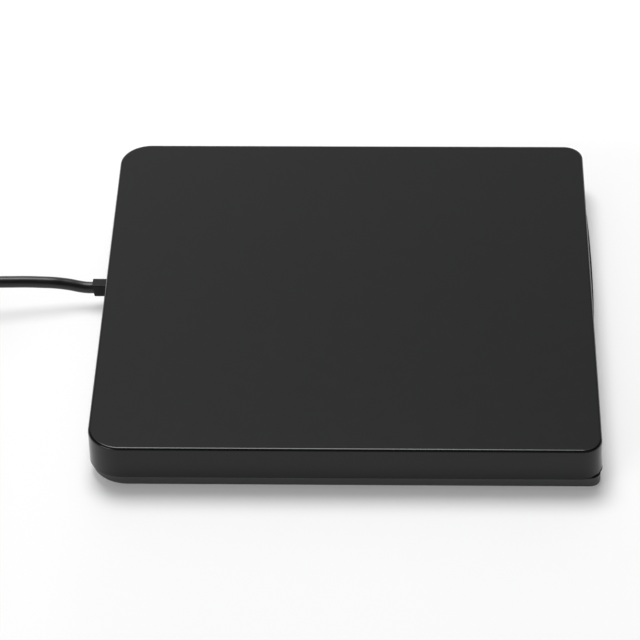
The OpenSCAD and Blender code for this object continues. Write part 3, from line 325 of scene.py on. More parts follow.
def motor_metal():
    return brushed("motor_metal", 0.3, (1, 1, 0.2), 0.002)


def rod_steel():
    return brushed("rod_steel", 0.16, (1, 1, 1), 0.001)


def sled_alloy():
    return brushed("sled_alloy", 0.46, (1, 1, 1), 0.006, 0.72)


def laser_brass():
    return brushed("laser_brass", 0.3, (1, 0.2, 1), 0.002)


def plug_steel():
    return brushed("plug_steel", 0.22, (1, 0.08, 1), 0.0015)


def copper_wire():
    return brushed("copper_wire", 0.28, (0.15, 1, 1), 0.004)


def sheet_steel():
    finish = Finish("sheet_steel", {"Metallic": 1.0})
    tone = TONE_OF["sheet_steel"]
    crystals = finish.cells(3.2, output="Color")
    spangle = finish.node("SeparateColor", sockets={0: crystals})
    rolled = finish.noise(0.6, 2, (0.05, 1, 1))
    finish.feed({
        "Base Color": finish.between(spangle, shade(tone, 0.56), shade(tone, 0.78)),
        "Roughness": 0.36 + 0.12 * spangle + 0.08 * rolled,
    })
    finish.bump(rolled, 0.0015)
    return finish


def board_green():
    finish = Finish("board_green", {"IOR": 1.5, "Coat Weight": 0.3, "Coat Roughness": 0.15})
    tone = TONE_OF["board_green"]
    tracks = finish.cells(1.6, "DISTANCE_TO_EDGE")
    copper = 1 - finish.ease(tracks, 0.04, 0.09)
    weave = finish.noise(0.3, 2)
    finish.feed({
        "Base Color": finish.between(copper, shade(tone, 0.8), shade(tone, 1.5)),
        "Roughness": 0.3 + 0.12 * weave,
    })
    finish.bump(copper, 0.01)
    return finish


def flex_film():
    finish = Finish("flex_film", {"IOR": 1.55})
    tone = TONE_OF["flex_film"]
    one_a_millimetre = 0.314
    sockets = {"Vector": finish.place, "Scale": one_a_millimetre / MM, "Distortion": 0.0}
    tracks = finish.node("TexWave", {"bands_direction": "Y"}, sockets, 1)
    lines = finish.ease(tracks, 0.35, 0.6)
    finish.feed({
        "Base Color": finish.between(lines, shade(tone, 0.72), tone),
        "Roughness": 0.26 + 0.1 * finish.noise(3, 2),
    })
    finish.bump(lines, 0.012)
    return finish


def clear_plastic():
    finish = Finish("clear_plastic", {"IOR": 1.49, "Transmission Weight": 0.75})
    cloud = finish.noise(1.2, 2)
    finish.feed({
        "Base Color": finish.between(cloud, (0.72, 0.78, 0.84), (0.86, 0.9, 0.94)),
        "Roughness": 0.12 + 0.1 * cloud,
    })
    finish.bump(cloud, 0.004)
    return finish


def lens_glass():
    finish = Finish("lens_glass", {"IOR": 1.55, "Coat Weight": 0.6, "Coat Tint": (0.55, 0.6, 1.0, 1)})
    ring = finish.noise(1.5, 1)
    finish.feed({
        "Base Color": finish.between(ring, (0.03, 0.045, 0.11), (0.05, 0.07, 0.16)),
        "Roughness": 0.03 + 0.03 * ring,
    })
    finish.bump(ring, 0.0005)
    return finish


def tie_black():
    finish = Finish("tie_black", {"IOR": 1.4, "Sheen Weight": 0.25, "Sheen Roughness": 0.5})
    loops = finish.cells(0.45)
    weave = finish.noise(0.8, 3, (1, 4, 1))
    finish.feed({
        "Base Color": finish.between(loops, (0.009, 0.009, 0.009), (0.026, 0.026, 0.027)),
        "Roughness": 0.7 + 0.2 * weave,
    })
    finish.bump(loops, 0.08)
    return finish


FINISHES = {
    make.__name__: make
    for make in (
        gloss_cover, satin_base, foot_rubber, boot_rubber, cord_jacket, plug_black, chip_black, guide_plastic,
        tray_plastic, turntable_black, lever_plastic, plug_white, screw_steel, rail_steel, motor_metal, rod_steel,
        sled_alloy, laser_brass, plug_steel, copper_wire, sheet_steel, board_green, flex_film, clear_plastic,
        lens_glass, tie_black,
    )
}
MADE = {}


def material(slot):
    """The one material of a slot."""
    if slot not in MADE:
        MADE[slot] = FINISHES[slot]().material
    return MADE[slot]


# Mesh tools, in millimetres

ROUND_STEPS = 18
HALF_TURN = [pi * i / 12 for i in range(13)]
QUARTER_TURN = HALF_TURN[:7]
FLAT = radians(0.15)
CREASE = radians(35)
WELD = 0.0005
PAST = 1.0  # how far a cutter reaches past what it cuts


def block(mesh, low, high):
    """Adds a closed box between two corners."""
    low, high = Vector(low), Vector(high)
    size = Matrix.Diagonal(high - low).to_4x4()
    bmesh.ops.create_cube(mesh, size=1, matrix=Matrix.Translation((low + high) / 2) @ size)


def loft(mesh, rings, endless=False):
    """Adds a skin through rings of equally many points, capped at both ends or joined end to start."""
    rows = [[mesh.verts.new(point) for point in ring] for ring in rings]
    follows = rows[1:] + rows[:1] if endless else rows[1:]
    for near, far in zip(rows, follows):
        for i in range(len(near)):
            mesh.faces.new((near[i - 1], near[i], far[i], far[i - 1]))
    if not endless:
        mesh.faces.new(reversed(rows[0]))
        mesh.faces.new(rows[-1])


def facing(at, way):
    """A frame at a point whose Z axis looks along way."""
    return Matrix.Translation(at) @ Vector(way).to_track_quat("Z", "Y").to_matrix().to_4x4()


def turned(mesh, stops, frame_at, sides=48):
    """Adds a lathe form of (radius, height) stops about the frame's Z axis."""
    ways = [tau * i / sides for i in range(sides)]
    loft(mesh, [[frame_at @ Vector((r * cos(a), r * sin(a), z)) for a in ways] for r, z in stops])


def rounded(wide, high, radius, steps=8):
    """Outline of a rectangle about the origin with round corners."""
    points = []
    for side_x, side_y, start in ((1, 1, 0), (-1, 1, 90), (-1, -1, 180), (1, -1, 270)):
        x, y = side_x * (wide / 2 - radius), side_y * (high / 2 - radius)
        for i in range(steps + 1):
            a = radians(start + 90 * i / steps)
            points.append((x + radius * cos(a), y + radius * sin(a)))
    return points


def headings(path):
    """The way a path runs at each of its points."""
    last = len(path) - 1
    return [(path[min(i + 1, last)] - path[max(i - 1, 0)]).normalized() for i in range(len(path))]


def wire(mesh, path, radius, sides=10):
    """Adds a round tube along points."""
    path = [Vector(point) for point in path]
    ways = [tau * i / sides for i in range(sides)]
    rings = []
    across = None
    for point, ahead in zip(path, headings(path)):
        if across is None:
            across = ahead.orthogonal().normalized()
        across = (across - ahead * across.dot(ahead)).normalized()
        beside = ahead.cross(across)
        rings.append([point + radius * (across * cos(a) + beside * sin(a)) for a in ways])
    loft(mesh, rings)


def bench(mesh):
    """A bare object in the scene that holds a mesh for one step of work."""
    held = bpy.data.meshes.new("bench")
    bmesh.ops.recalc_face_normals(mesh, faces=mesh.faces)
    mesh.to_mesh(held)
    mesh.free()
    thing = bpy.data.objects.new("bench", held)
    bpy.context.scene.collection.objects.link(thing)
    return thing


def carved(solid, cutter):
    """One closed mesh with another taken out of it."""
    whole, tool = bench(solid), bench(cutter)
    cut = whole.modifiers.new("cut", "BOOLEAN")
    cut.object = tool
    cut.solver = "EXACT"
    cut.use_self = True
    left = bmesh.new()
    left.from_mesh(whole.evaluated_get(bpy.context.evaluated_depsgraph_get()).data)
    for thing in (whole, tool):
        bpy.data.meshes.remove(thing.data)
    return left


def shape_of(node):
    """A CAD node's shape, with its flat faces joined up."""
    mesh = bmesh.new()
    mesh.from_mesh(frame["nodes"][node].data)
    bmesh.ops.scale(mesh, vec=(1 / MM,) * 3, verts=mesh.verts)
    bmesh.ops.remove_doubles(mesh, verts=mesh.verts, dist=WELD)
    bmesh.ops.dissolve_limit(mesh, angle_limit=FLAT, verts=mesh.verts, edges=mesh.edges)
    return mesh


def box_of(node):
    """The low and the high corner of a CAD node."""
    return [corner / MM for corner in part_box(node)]


def piece(name, mesh, slot, body, stands_for=(), edge=0.0):
    """Makes an object of a mesh, rounds its sharp edges and lets it ride on a body, if one is given."""
    bmesh.ops.recalc_face_normals(mesh, faces=mesh.faces)
    bmesh.ops.scale(mesh, vec=(MM,) * 3, verts=mesh.verts)
    data = bpy.data.meshes.new(name)
    mesh.to_mesh(data)
    mesh.free()
    data.shade_smooth()
    data.set_sharp_from_angle(angle=CREASE)
    data.materials.append(material(slot))
    made = bpy.data.objects.new(name, data)
    bpy.context.scene.collection.objects.link(made)
    if edge:
        soften(made, edge)
    if body:
        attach(made, body)
    if stands_for:
        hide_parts(*stands_for)
    return made


def soften(made, edge):
    """Rounds the sharp edges of a piece and evens its shading."""
    made.data.shade_smooth()
    round_off = made.modifiers.new("round", "BEVEL")
    round_off.width = edge * MM
    round_off.segments = 3
    round_off.limit_method = "ANGLE"
    round_off.angle_limit = CREASE
    round_off.harden_normals = False
    even = made.modifiers.new("even", "WEIGHTED_NORMAL")
    even.keep_sharp = True


# Camera at the photograph's angle, in metres

CAMERA_AT = (0.01597, -0.73492, 0.58803)
CAMERA_YAW, CAMERA_PITCH, CAMERA_ROLL = radians(-1.9276), radians(38.5202), radians(0.9436)
CAMERA_LENS, CAMERA_SENSOR, CAMERA_NEAR = 179.27, 36.0, 0.01


def set_camera():
    ahead = Vector((
        sin(CAMERA_YAW) * cos(CAMERA_PITCH), cos(CAMERA_YAW) * cos(CAMERA_PITCH), -sin(CAMERA_PITCH)
    ))
    right = ahead.cross((0, 0, 1)).normalized()
    down = ahead.cross(right)
    tilted_right = right * cos(CAMERA_ROLL) + down * sin(CAMERA_ROLL)
    tilted_down = down * cos(CAMERA_ROLL) - right * sin(CAMERA_ROLL)
    lens = bpy.data.cameras.new("camera")
    lens.sensor_width = CAMERA_SENSOR
    lens.lens = CAMERA_LENS
    lens.clip_start = CAMERA_NEAR
    camera = bpy.data.objects.new("camera", lens)
    turn = Matrix((tilted_right, -tilted_down, -ahead)).transposed()
    camera.matrix_world = Matrix.Translation(CAMERA_AT) @ turn.to_4x4()
    bpy.context.scene.collection.objects.link(camera)
    bpy.context.scene.camera = camera


# Cord with its boot, coil tie and plug


def coil_point(turn):
    """A point of the coil, which winds inward on its upper layer and outward again on its lower one."""
    half = COIL_TURNS / 2
    radius = COIL_R - COIL_PITCH * (half - abs(turn - half))
    way = radians(90 + 360 * turn)
    share = min(max((turn - half) / COIL_DROP_TURNS + 0.5, 0), 1)
    level = COIL_HIGH + (COIL_LOW - COIL_HIGH) * (3 * share ** 2 - 2 * share ** 3)
    return (COIL_X + radius * cos(way), COIL_Y + radius * sin(way), level)


def cord():
    """The cord as one curve, from its boot through the coil to its plug."""
    turns = [coil_point(i / COIL_STEPS) for i in range(ceil(COIL_TURNS * COIL_STEPS) + 1)]
    route = CORD_ROUTE + turns + PLUG_TAIL
    line = bpy.data.curves.new("cord", "CURVE")
    line.dimensions = "3D"
    line.resolution_u = 4
    line.bevel_depth = CORD_D / 2 * MM
    line.bevel_resolution = 6
    line.use_fill_caps = True
    spline = line.splines.new("BEZIER")
    spline.bezier_points.add(len(route) - 1)
    for knot, point in zip(spline.bezier_points, route):
        knot.co = Vector(point) * MM
        knot.handle_left_type = knot.handle_right_type = "AUTO"
    line.materials.append(material("cord_jacket"))
    made = bpy.data.objects.new("cord", line)
    bpy.context.scene.collection.objects.link(made)
    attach(made, "enclosure")
    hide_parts("usb_cord", "cord_coil")
    return made


def boot():
    """Moulded boot whose outer end leans over the cord."""
    mesh = shape_of("cable_strain_relief")
    end = min(point.co.x for point in mesh.verts)
    foot = min(point.co.z for point in mesh.verts)
    for point in mesh.verts:
        if point.co.x < end + BOOT_END:
            point.co.x -= BOOT_LEAN * (point.co.z - foot)
    return piece("boot", mesh, "boot_rubber", "enclosure", ["cable_strain_relief"], 0.3)


def tie():
    """A woven strap round the coil, with its end lapped over on top."""
    low, high = box_of("coil_tie")
    strap, bend = 0.6, 1.4
    lap, lap_in, lap_start, lap_end, lap_sunk = 0.45, 0.15, 2.2, 2.4, 0.1
    middle_y, middle_z = (low.y + high.y) / 2, (low.z + high.z) / 2
    mesh = bmesh.new()
    outer = rounded(high.y - low.y, high.z - low.z, bend)
    inner = rounded(high.y - low.y - 2 * strap, high.z - low.z - 2 * strap, bend - strap)
    corners = ((low.x, outer), (high.x, outer), (high.x, inner), (low.x, inner))
    loft(mesh, [[(x, middle_y + y, middle_z + z) for y, z in ring] for x, ring in corners], endless=True)
    block(
        mesh, (low.x + lap_in, low.y + lap_start, high.z - lap_sunk),
        (high.x - lap_in, high.y - lap_end, high.z + lap),
    )
    return piece("tie", mesh, "tie_black", "enclosure", ["coil_tie"], 0.14)


def plug_grip():
    """Moulded grip with finger grooves and a ribbed relief round the cord."""
    wide, high, nose = 15.6, 8.0, 1.3
    groove_count, groove_start, groove_pitch = 5, 4.2, 1.9
    groove_half, groove_thin, groove_deep = 4.2, 0.45, 0.35
    rib_count, rib_start, rib_pitch, rib_deep = 5, 0.6, 1.7, 0.45
    rib_r, rib_grow = 2.15, 0.15
    mesh = bmesh.new()
    stops = [(nose * (1 - sin(a)), GRIP_BACK - nose * (1 - cos(a))) for a in QUARTER_TURN]
    stops += [(inset, GRIP_BACK + SHELL_BACK - y) for inset, y in reversed(stops)]
    rings = []
    for inset, y in stops:
        ring = rounded(wide - 2 * inset, high - 2 * inset, high / 2 - inset - 0.01, 10)
        rings.append([(PLUG_X + x, y, PLUG_Z + z) for x, z in ring])
    loft(mesh, rings)
    grooves = bmesh.new()
    for i in range(groove_count):
        y = GRIP_BACK - groove_start - groove_pitch * i
        for side in (-1, 1):
            level = PLUG_Z + side * high / 2
            block(
                grooves, (PLUG_X - groove_half, y - groove_thin, level - groove_deep),
                (PLUG_X + groove_half, y + groove_thin, level + groove_deep),
            )
    mesh = carved(mesh, grooves)
    relief = [(1.75, 0.0), (2.1, 0.25)]
    for i in range(rib_count):
        start, crest = rib_start + rib_pitch * i, rib_r + rib_grow * i
        valley = crest - rib_deep
        relief += [(crest, start), (crest, start + 1.0), (valley, start + 1.15), (valley, start + 1.55)]
    relief += [(2.9, 9.2), (2.9, 9.6)]
    turned(mesh, relief, facing((PLUG_X, RELIEF_BACK, PLUG_Z), (0, -1, 0)), 32)
    return piece("plug_grip", mesh, "plug_black", "enclosure", ["plug_body"], 0.12)


def plug_sleeve():
    """Folded steel sleeve with four latch windows and the seam of its fold underneath."""
    wide, high, wall, outer_r, inner_r = 12.0, 4.5, 0.3, 0.6, 0.3
    window_x, window_half, window_deep, window_front, window_back = 2.7, 1.15, 0.45, -67.2, -65.0
    seam_half, seam_deep, seam_end, seam_top = 0.05, 0.5, 0.8, 1.9
    mesh = bmesh.new()
    outer = rounded(wide, high, outer_r, 5)
    inner = rounded(wide - 2 * wall, high - 2 * wall, inner_r, 5)
    stops = ((SHELL_BACK, outer), (PLUG_TIP, outer), (PLUG_TIP, inner), (SHELL_BACK - wall, inner))
    loft(mesh, [[(PLUG_X + x, y, PLUG_Z + z) for x, z in ring] for y, ring in stops])
    cuts = bmesh.new()
    for side_x in (-1, 1):
        x = PLUG_X + window_x * side_x
        for level in (PLUG_Z - high / 2, PLUG_Z + high / 2):
            block(
                cuts, (x - window_half, window_front, level - window_deep),
                (x + window_half, window_back, level + window_deep),
            )
    block(
        cuts, (PLUG_X - seam_half, PLUG_TIP - PAST, PLUG_Z - high / 2 - seam_deep),
        (PLUG_X + seam_half, SHELL_BACK - seam_end, seam_top),
    )
    return piece("plug_sleeve", carved(mesh, cuts), "plug_steel", "enclosure", ["plug_shell"], 0.06)


def plug_tongue():
    return piece("tongue", shape_of("plug_tongue"), "plug_white", "enclosure", ["plug_tongue"], 0.15)


def plug_contacts():
    """Four plated strips on the tongue, the outer two longer."""
    level = box_of("plug_tongue")[0].z
    half, proud, sunk = 0.5, 0.12, 0.05
    tip = PLUG_TIP + 0.9
    mesh = bmesh.new()
    for across, reach in ((-3.5, 7.6), (-1.0, 6.4), (1.0, 6.4), (3.5, 7.6)):
        x = PLUG_X + across
        block(mesh, (x - half, tip, level - proud), (x + half, tip + reach, level + sunk))
    return piece("contacts", mesh, "laser_brass", "enclosure", edge=0.04)


def cord_set():
    lead = cord()
    fixed = [boot(), tie(), plug_grip(), plug_sleeve(), plug_tongue(), plug_contacts()]


# Case


def case_ring(inset, rear_r, front_r, level, proud=0.0):
    """Ring of the case outline, drawn in by inset, at a level. Its tray side stands proud."""
    rear, front, half = CASE_REAR + inset, CASE_FRONT - inset, CASE_HALF - inset
    corners = (
        (front, half, front_r, 0), (rear, half, rear_r, 90),
        (rear, -half, rear_r, 180), (front, -half, front_r, 270),
    )
    ring = []
    for x, y, radius, start in corners:
        middle_x, middle_y = x - copysign(radius, x), y - copysign(radius, y)
        for i in range(ROUND_STEPS + 1):
            a = radians(start + 90 * i / ROUND_STEPS)
            out = proud * max(cos(a), 0) ** 2
            ring.append((middle_x + radius * cos(a) + out, middle_y + radius * sin(a), level))
    return ring


def cover_ring(inset, level, proud=0.0):
    return case_ring(inset, COVER_REAR_R - inset, COVER_FRONT_R - inset, level, proud)


def cover():
    """Gloss lid with a rounded top edge, hollow inside, open at the tray's mouth and over the cord boot."""
    steps = 8
    stops = [(0, CASE_RIM, DRAFT_OUT), (0, DRAFT_TOP, 0)]
    for i in range(steps + 1):
        a = pi / 2 * i / steps
        stops.append((COVER_EDGE * (1 - cos(a)), CASE_TOP - COVER_EDGE * (1 - sin(a)), 0))
    mesh = bmesh.new()
    loft(mesh, [cover_ring(inset, level, proud) for inset, level, proud in stops])
    hollow = bmesh.new()
    below = CASE_RIM - PAST
    loft(hollow, [cover_ring(COVER_WALL, below), cover_ring(COVER_WALL, CASE_CEILING)])
    block(hollow, (CASE_FRONT - COVER_WALL - PAST, -MOUTH_HALF, below), (CASE_FRONT + PAST, MOUTH_HALF, MOUTH_TOP))
    notch = BOOT_HALF + BOOT_GAP
    block(
        hollow, (CASE_REAR - PAST, BOOT_Y - notch, below),
        (CASE_REAR + COVER_WALL + PAST, BOOT_Y + notch, BOOT_NOTCH_TOP),
    )
    mesh = carved(mesh, hollow)
    boss = [
        (BOSS_BORE, BOSS_BORE_TOP), (BOSS_BORE, BOSS_LOW), (BOSS_R, BOSS_LOW), (BOSS_R, CASE_CEILING + BOSS_SUNK)
    ]
    for x in BOSS_XS:
        for y in (-BOSS_Y, BOSS_Y):
            turned(mesh, boss, Matrix.Translation((x, y, 0)), 32)
    return piece("cover", mesh, "gloss_cover", "enclosure", ["top_cover"], 0.1)


def base():
    """Base pan that reaches a little further out on the tray's side, with corners that are fuller low down."""
    mesh = shape_of("base_pan")
    low, high = box_of("base_pan")
    for point in mesh.verts:
        x, y, z = point.co
        along, across = x - high.x + BASE_CORNER_R, abs(y) - high.y + BASE_CORNER_R
        point.co.x += BASE_OUT * min(max((x - high.x) / BASE_OUT_FROM + 1, 0), 1)
        if along > 0 and across > 0:
            # Most in the middle of the corner, nothing at its ends
            fuller = BASE_CORNER_OUT * (1 - (z - low.z) / (high.z - low.z))
            fuller *= 4 * (along * across) ** 2 / (along * along + across * across) ** 2.5
            point.co.x += fuller * along
            point.co.y += copysign(fuller * across, y)
    return piece("base", mesh, "satin_base", "enclosure", ["base_pan"], 0.1)


def feet():
    """Stick-on feet with a rounded rim and a shallow dish."""
    mesh = bmesh.new()
    stops = [(0.6, 0.16), (3.5, 0.16), (3.8, 0.04), (4.0, 0.0), (4.6, 0.0), (4.88, 0.12)]
    stops += [(FOOT_R, 0.4), (FOOT_R, FOOT_TOP)]
    for x in FOOT_XS:
        for y in (-FOOT_Y, FOOT_Y):
            turned(mesh, stops, Matrix.Translation((x, y, 0)), 64)
    return piece("feet", mesh, "foot_rubber", "enclosure", ["rubber_feet"])


def cross_screws(name, node, places, head_r, head_h, shank_r, length, body):
    """Cross-recessed screws whose heads face down. A place is the middle of a head's outer face."""
    mesh, recess = bmesh.new(), bmesh.new()
    crown = 0.18
    arm, half, deep = head_r * 0.6, head_r * 0.15, head_h * 0.6
    for place in places:
        stand = Matrix.Translation(place)
        stops = [(head_r * 0.55, 0), (head_r * 0.85, crown * 0.3), (head_r, crown), (head_r, head_h)]
        stops += [(shank_r, head_h), (shank_r, length)]
        turned(mesh, stops, stand, 32)
        x, y, z = place
        for reach_x, reach_y in ((arm, half), (half, arm)):
            block(recess, (x - reach_x, y - reach_y, z - PAST), (x + reach_x, y + reach_y, z + deep))
    return piece(name, carved(mesh, recess), "screw_steel", body, [node], 0.05)


def case_screws():
    low, high = box_of("case_screws")
    places = [(x, y, low.z) for x in BOSS_XS for y in (-BOSS_Y, BOSS_Y)]
    return cross_screws(
        "cover_screws", "case_screws", places,
        head_r=2.0, head_h=0.7, shank_r=1.0, length=high.z - low.z, body="enclosure",
    )


# Drive

SPINDLE_X, WELL_FLOOR, SEAT_R = 5.05, 8.9, (40.0, 41.0)
TRAVERSE = Matrix.Translation((SPINDLE_X, 0, 0)) @ Matrix.Rotation(radians(-45), 4, "Z")
LENS_X, LENS_R, LENS_LOW, LENS_RIM, LENS_TOP = 24.0, 2.0, 7.9, 8.3, 8.7
FLEX_LANE, FLEX_LOW, FLEX_HIGH, FLEX_THICK = (16.0, 32.0), 3.45, 4.5, 0.15
FLEX_REAR, FLEX_FOLD, FLEX_END, FLEX_TIP = -58.1, 9.45, -54.05, 42.35
LATCH_X, LATCH_Y = 52.05, 53.0
EJECTOR_Y, EJECTOR_Z = -46.0, 6.35


def tray():
    """Disc tray with the shallow groove round the seat of small discs."""
    groove = bmesh.new()
    inner, outer = SEAT_R
    depth, sides = 0.25, 128
    bottom, top = WELL_FLOOR - depth, WELL_FLOOR + PAST
    stops = ((inner, bottom), (outer, bottom), (outer, top), (inner, top))
    ways = [tau * i / sides for i in range(sides)]
    loft(groove, [[(SPINDLE_X + r * cos(a), r * sin(a), z) for a in ways] for r, z in stops], endless=True)
    return piece("tray", carved(shape_of("disc_tray"), groove), "tray_plastic", "tray", ["disc_tray"], 0.12)


def strip(mesh, path):
    """Adds film along (x, z) points, as wide as the flex lane."""
    path = [Vector(point) for point in path]
    near, far = FLEX_LANE
    rings = []
    for point, ahead in zip(path, headings(path)):
        aside = ahead.orthogonal() * FLEX_THICK / 2
        (x0, z0), (x1, z1) = point + aside, point - aside
        rings.append([(x0, near, z0), (x0, far, z0), (x1, far, z1), (x1, near, z1)])
    loft(mesh, rings)


def flex():
    """Folded film, in a lower and an upper strip that stay where they are made; the fold's travel, somewhat less
    than half the tray's, is worked out but not used.
    """
    steps = 40
    middle, bend = (FLEX_LOW + FLEX_HIGH) / 2, (FLEX_HIGH - FLEX_LOW - FLEX_THICK) / 2
    fold_share = 0.4666
    lower = [(FLEX_REAR + (FLEX_FOLD - FLEX_REAR) * i / steps, middle - bend) for i in range(steps)]
    lower += [(FLEX_FOLD + bend * sin(a), middle - bend * cos(a)) for a in HALF_TURN]
    upper = [(FLEX_FOLD + (FLEX_END - FLEX_FOLD) * i / steps, middle + bend) for i in range(steps + 1)]
    lower_end = FLEX_REAR + (FLEX_FOLD - FLEX_REAR) / fold_share
    upper_start = FLEX_END + (FLEX_FOLD - FLEX_END) / (1 - fold_share)
    for name, path, start, end in (
        ("flex_lower", lower, FLEX_REAR, lower_end), ("flex_upper", upper, upper_start, FLEX_END)
    ):
        mesh = bmesh.new()
        strip(mesh, path)
        film = piece(name, mesh, "flex_film", None, ["flex_cable"])
        start * MM
        end * MM
        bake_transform(film)


def inner_flex():
    """Film that turns up from the fold's end and runs on to the tray's board."""
    level, bend = FLEX_HIGH + 0.475, 0.25
    rise = FLEX_END + FLEX_THICK / 2
    path = [(rise, FLEX_HIGH)]
    path += [(rise + bend * (1 - cos(a)), level - bend * (1 - sin(a))) for a in QUARTER_TURN]
    path += [(FLEX_TIP, level)]
    mesh = bmesh.new()
    strip(mesh, path)
    return piece("inner_flex", mesh, "flex_film", "tray", ["tray_flex"])


def ejector_coil():
    """Push spring between the ejector's collar and the tray."""
    turns, steps, radius, thread = 3, 24, 1.15, 0.2
    low, high = box_of("ejector_spring")
    start, run, last = low.x + thread, high.x - low.x - 2 * thread, turns * steps
    path = []
    for i in range(last + 1):
        a = tau * i / steps
        path.append((start + run * i / last, EJECTOR_Y + radius * cos(a), EJECTOR_Z + radius * sin(a)))
    mesh = bmesh.new()
    wire(mesh, path, thread)
    spring = piece("ejector_coil", mesh, "rod_steel", None, ["ejector_spring"])
    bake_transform(spring)


def latch_coil():
    """Torsion spring round the latch's pin with one leg on the solenoid."""
    turns, steps, radius, thread, leg_out = 3, 24, 1.5, 0.15, 0.1
    low, high = box_of("latch_spring")
    start, rise, last = low.z + 2 * thread, high.z - low.z - 4 * thread, turns * steps
    path = [(LATCH_X + radius + leg_out, low.y + thread, start)]
    for i in range(last + 1):
        a = tau * i / steps
        path.append((LATCH_X + radius * cos(a), LATCH_Y + radius * sin(a), start + rise * i / last))
    mesh = bmesh.new()
    wire(mesh, path, thread)
    return piece("latch_coil", mesh, "rod_steel", "tray", ["latch_spring"])


def lens():
    """Small domed lens with a flat rim."""
    dome, pole, steps = LENS_R - 0.25, 0.05, 9
    stops = [(pole, LENS_LOW), (LENS_R, LENS_LOW), (LENS_R, LENS_RIM)]
    for i in range(steps + 1):
        a = pi / 2 * i / steps
        stops.append((max(dome * cos(a), pole), LENS_RIM + (LENS_TOP - LENS_RIM) * sin(a)))
    mesh = bmesh.new()
    turned(mesh, stops, TRAVERSE @ Matrix.Translation((LENS_X, 0, 0)))
    return piece("lens", mesh, "lens_glass", "lens", ["objective_lens"])


def lens_suspension():
    """Four pairs of fine wires that carry the lens holder, and their two posts on the sled."""
    wire_xs, wire_ys, wire_levels, wire_r = (-1.8, 1.8), (4.4, 7.45), (8.05, 8.35), 0.07
    post_half, post_ys, post_low, post_top = 2.6, (7.5, 8.6), 7.45, 8.75
    wires, posts = bmesh.new(), bmesh.new()
    for side in (-1, 1):
        for x in wire_xs:
            for level in wire_levels:
                ends = [TRAVERSE @ Vector((LENS_X + x, side * y, level)) for y in wire_ys]
                wire(wires, ends, wire_r, 8)
        near, far = sorted(side * y for y in post_ys)
        block(posts, (LENS_X - post_half, near, post_low), (LENS_X + post_half, far, post_top))
    bmesh.ops.transform(posts, matrix=TRAVERSE, verts=posts.verts)
    piece("lens_wires", wires, "laser_brass", "lens")
    piece("wire_posts", posts, "turntable_black", "sled", edge=0.15)


def shield_screws():
    """The tray's screws with a cross recess in each end that faces down."""
    level_slack, arm_share, deep = 0.01, 0.6, 0.3
    mesh, recess = shape_of("tray_screws"), bmesh.new()
    reached = set()
    for seed in mesh.verts:
        if seed in reached:
            continue
        reached.add(seed)
        screw = [seed]
        for point in screw:
            others = [line.other_vert(point) for line in point.link_edges]
            screw += [other for other in others if other not in reached]
            reached.update(others)
        foot = min(point.co.z for point in screw)
        rim = [point.co for point in screw if point.co.z < foot + level_slack]
        middle = sum(rim, Vector()) / len(rim)
        arm = arm_share * (rim[0] - middle).length
        for half in (Vector((arm, arm / 4, deep)), Vector((arm / 4, arm, deep))):
            block(recess, middle - half, middle + half)
    return piece("shield_screws", carved(mesh, recess), "screw_steel", "tray", ["tray_screws"], 0.04)


# CAD shapes that stay as they are, with their edges rounded

EDGES = {
    "tray_bezel": 0.18, "eject_button": 0.25, "light_pipe": 0.15, "drive_chassis": 0.1,
    "drive_top_plate": 0.1, "rail_guide_left": 0.12, "rail_guide_right": 0.12, "slide_rail_left": 0.12,
    "slide_rail_right": 0.12, "tray_shield": 0.06, "traverse_deck": 0.1, "spindle_motor": 0.15, "turntable": 0.12,
    "turntable_pad": 0.08, "pickup_sled": 0.15, "laser_block": 0.12, "lens_holder": 0.1, "latch_lever": 0.15,
    "sled_follower": 0.12, "latch_solenoid": 0.15, "sled_motor": 0.15, "deck_grommets": 0.1, "bridge_connector": 0.1,
    "drive_connector": 0.1, "eject_switch": 0.1, "bridge_chips": 0.06, "tray_chips": 0.06, "rod_clips": 0.08,
    "screw_bearing": 0.08, "bridge_board": 0.05, "tray_board": 0.05, "guide_rods": 0.1, "ejector_pin": 0.1,
    "latch_post": 0.12,
}


def edged(node):
    return piece(node + "_edged", shape_of(node), SLOT_OF[node], BODY_OF[node], [node], EDGES[node])


def finish_kept_nodes():
    """Gives every CAD node that stays its slot's material."""
    for node, thing in frame["nodes"].items():
        for holder in thing.material_slots:
            holder.material = material(SLOT_OF[node])


# Stage, in metres

FLOOR_HALF, FLOOR_LIFT, FLOOR_FADE = 60.0, 0.18, (0.25, 0.9)
# Painted light: a patch of white on the floor beside the case's left end that pales the cord's shadow
CORD_PAINTED_LIGHT, CORD_PAINTED_LIGHT_CASE, CORD_PAINTED_LIGHT_COIL = 0.45, (-0.064, -0.084), (-0.135, -0.11)
SOFTBOX_AT, SOFTBOX_WIDE, SOFTBOX_DEEP, SOFTBOX_WATTS = (-0.12, 0.36, 1.07), 0.54, 0.6, 9.3

# Brightness of the room's parts, and how much each drops
SCREEN, SCREEN_DROP, SCREEN_LEFT = 1.05, 0.55, 0.24
CANOPY, CANOPY_RIGHT, WING_SHADE, SIDE_SHADE = 0.8, 0.28, 0.74, 0.85
AISLE, AISLE_DROP, FILL, FILL_DROP, WINDOW = 1.0, 0.9, 1.2, 0.8, 4


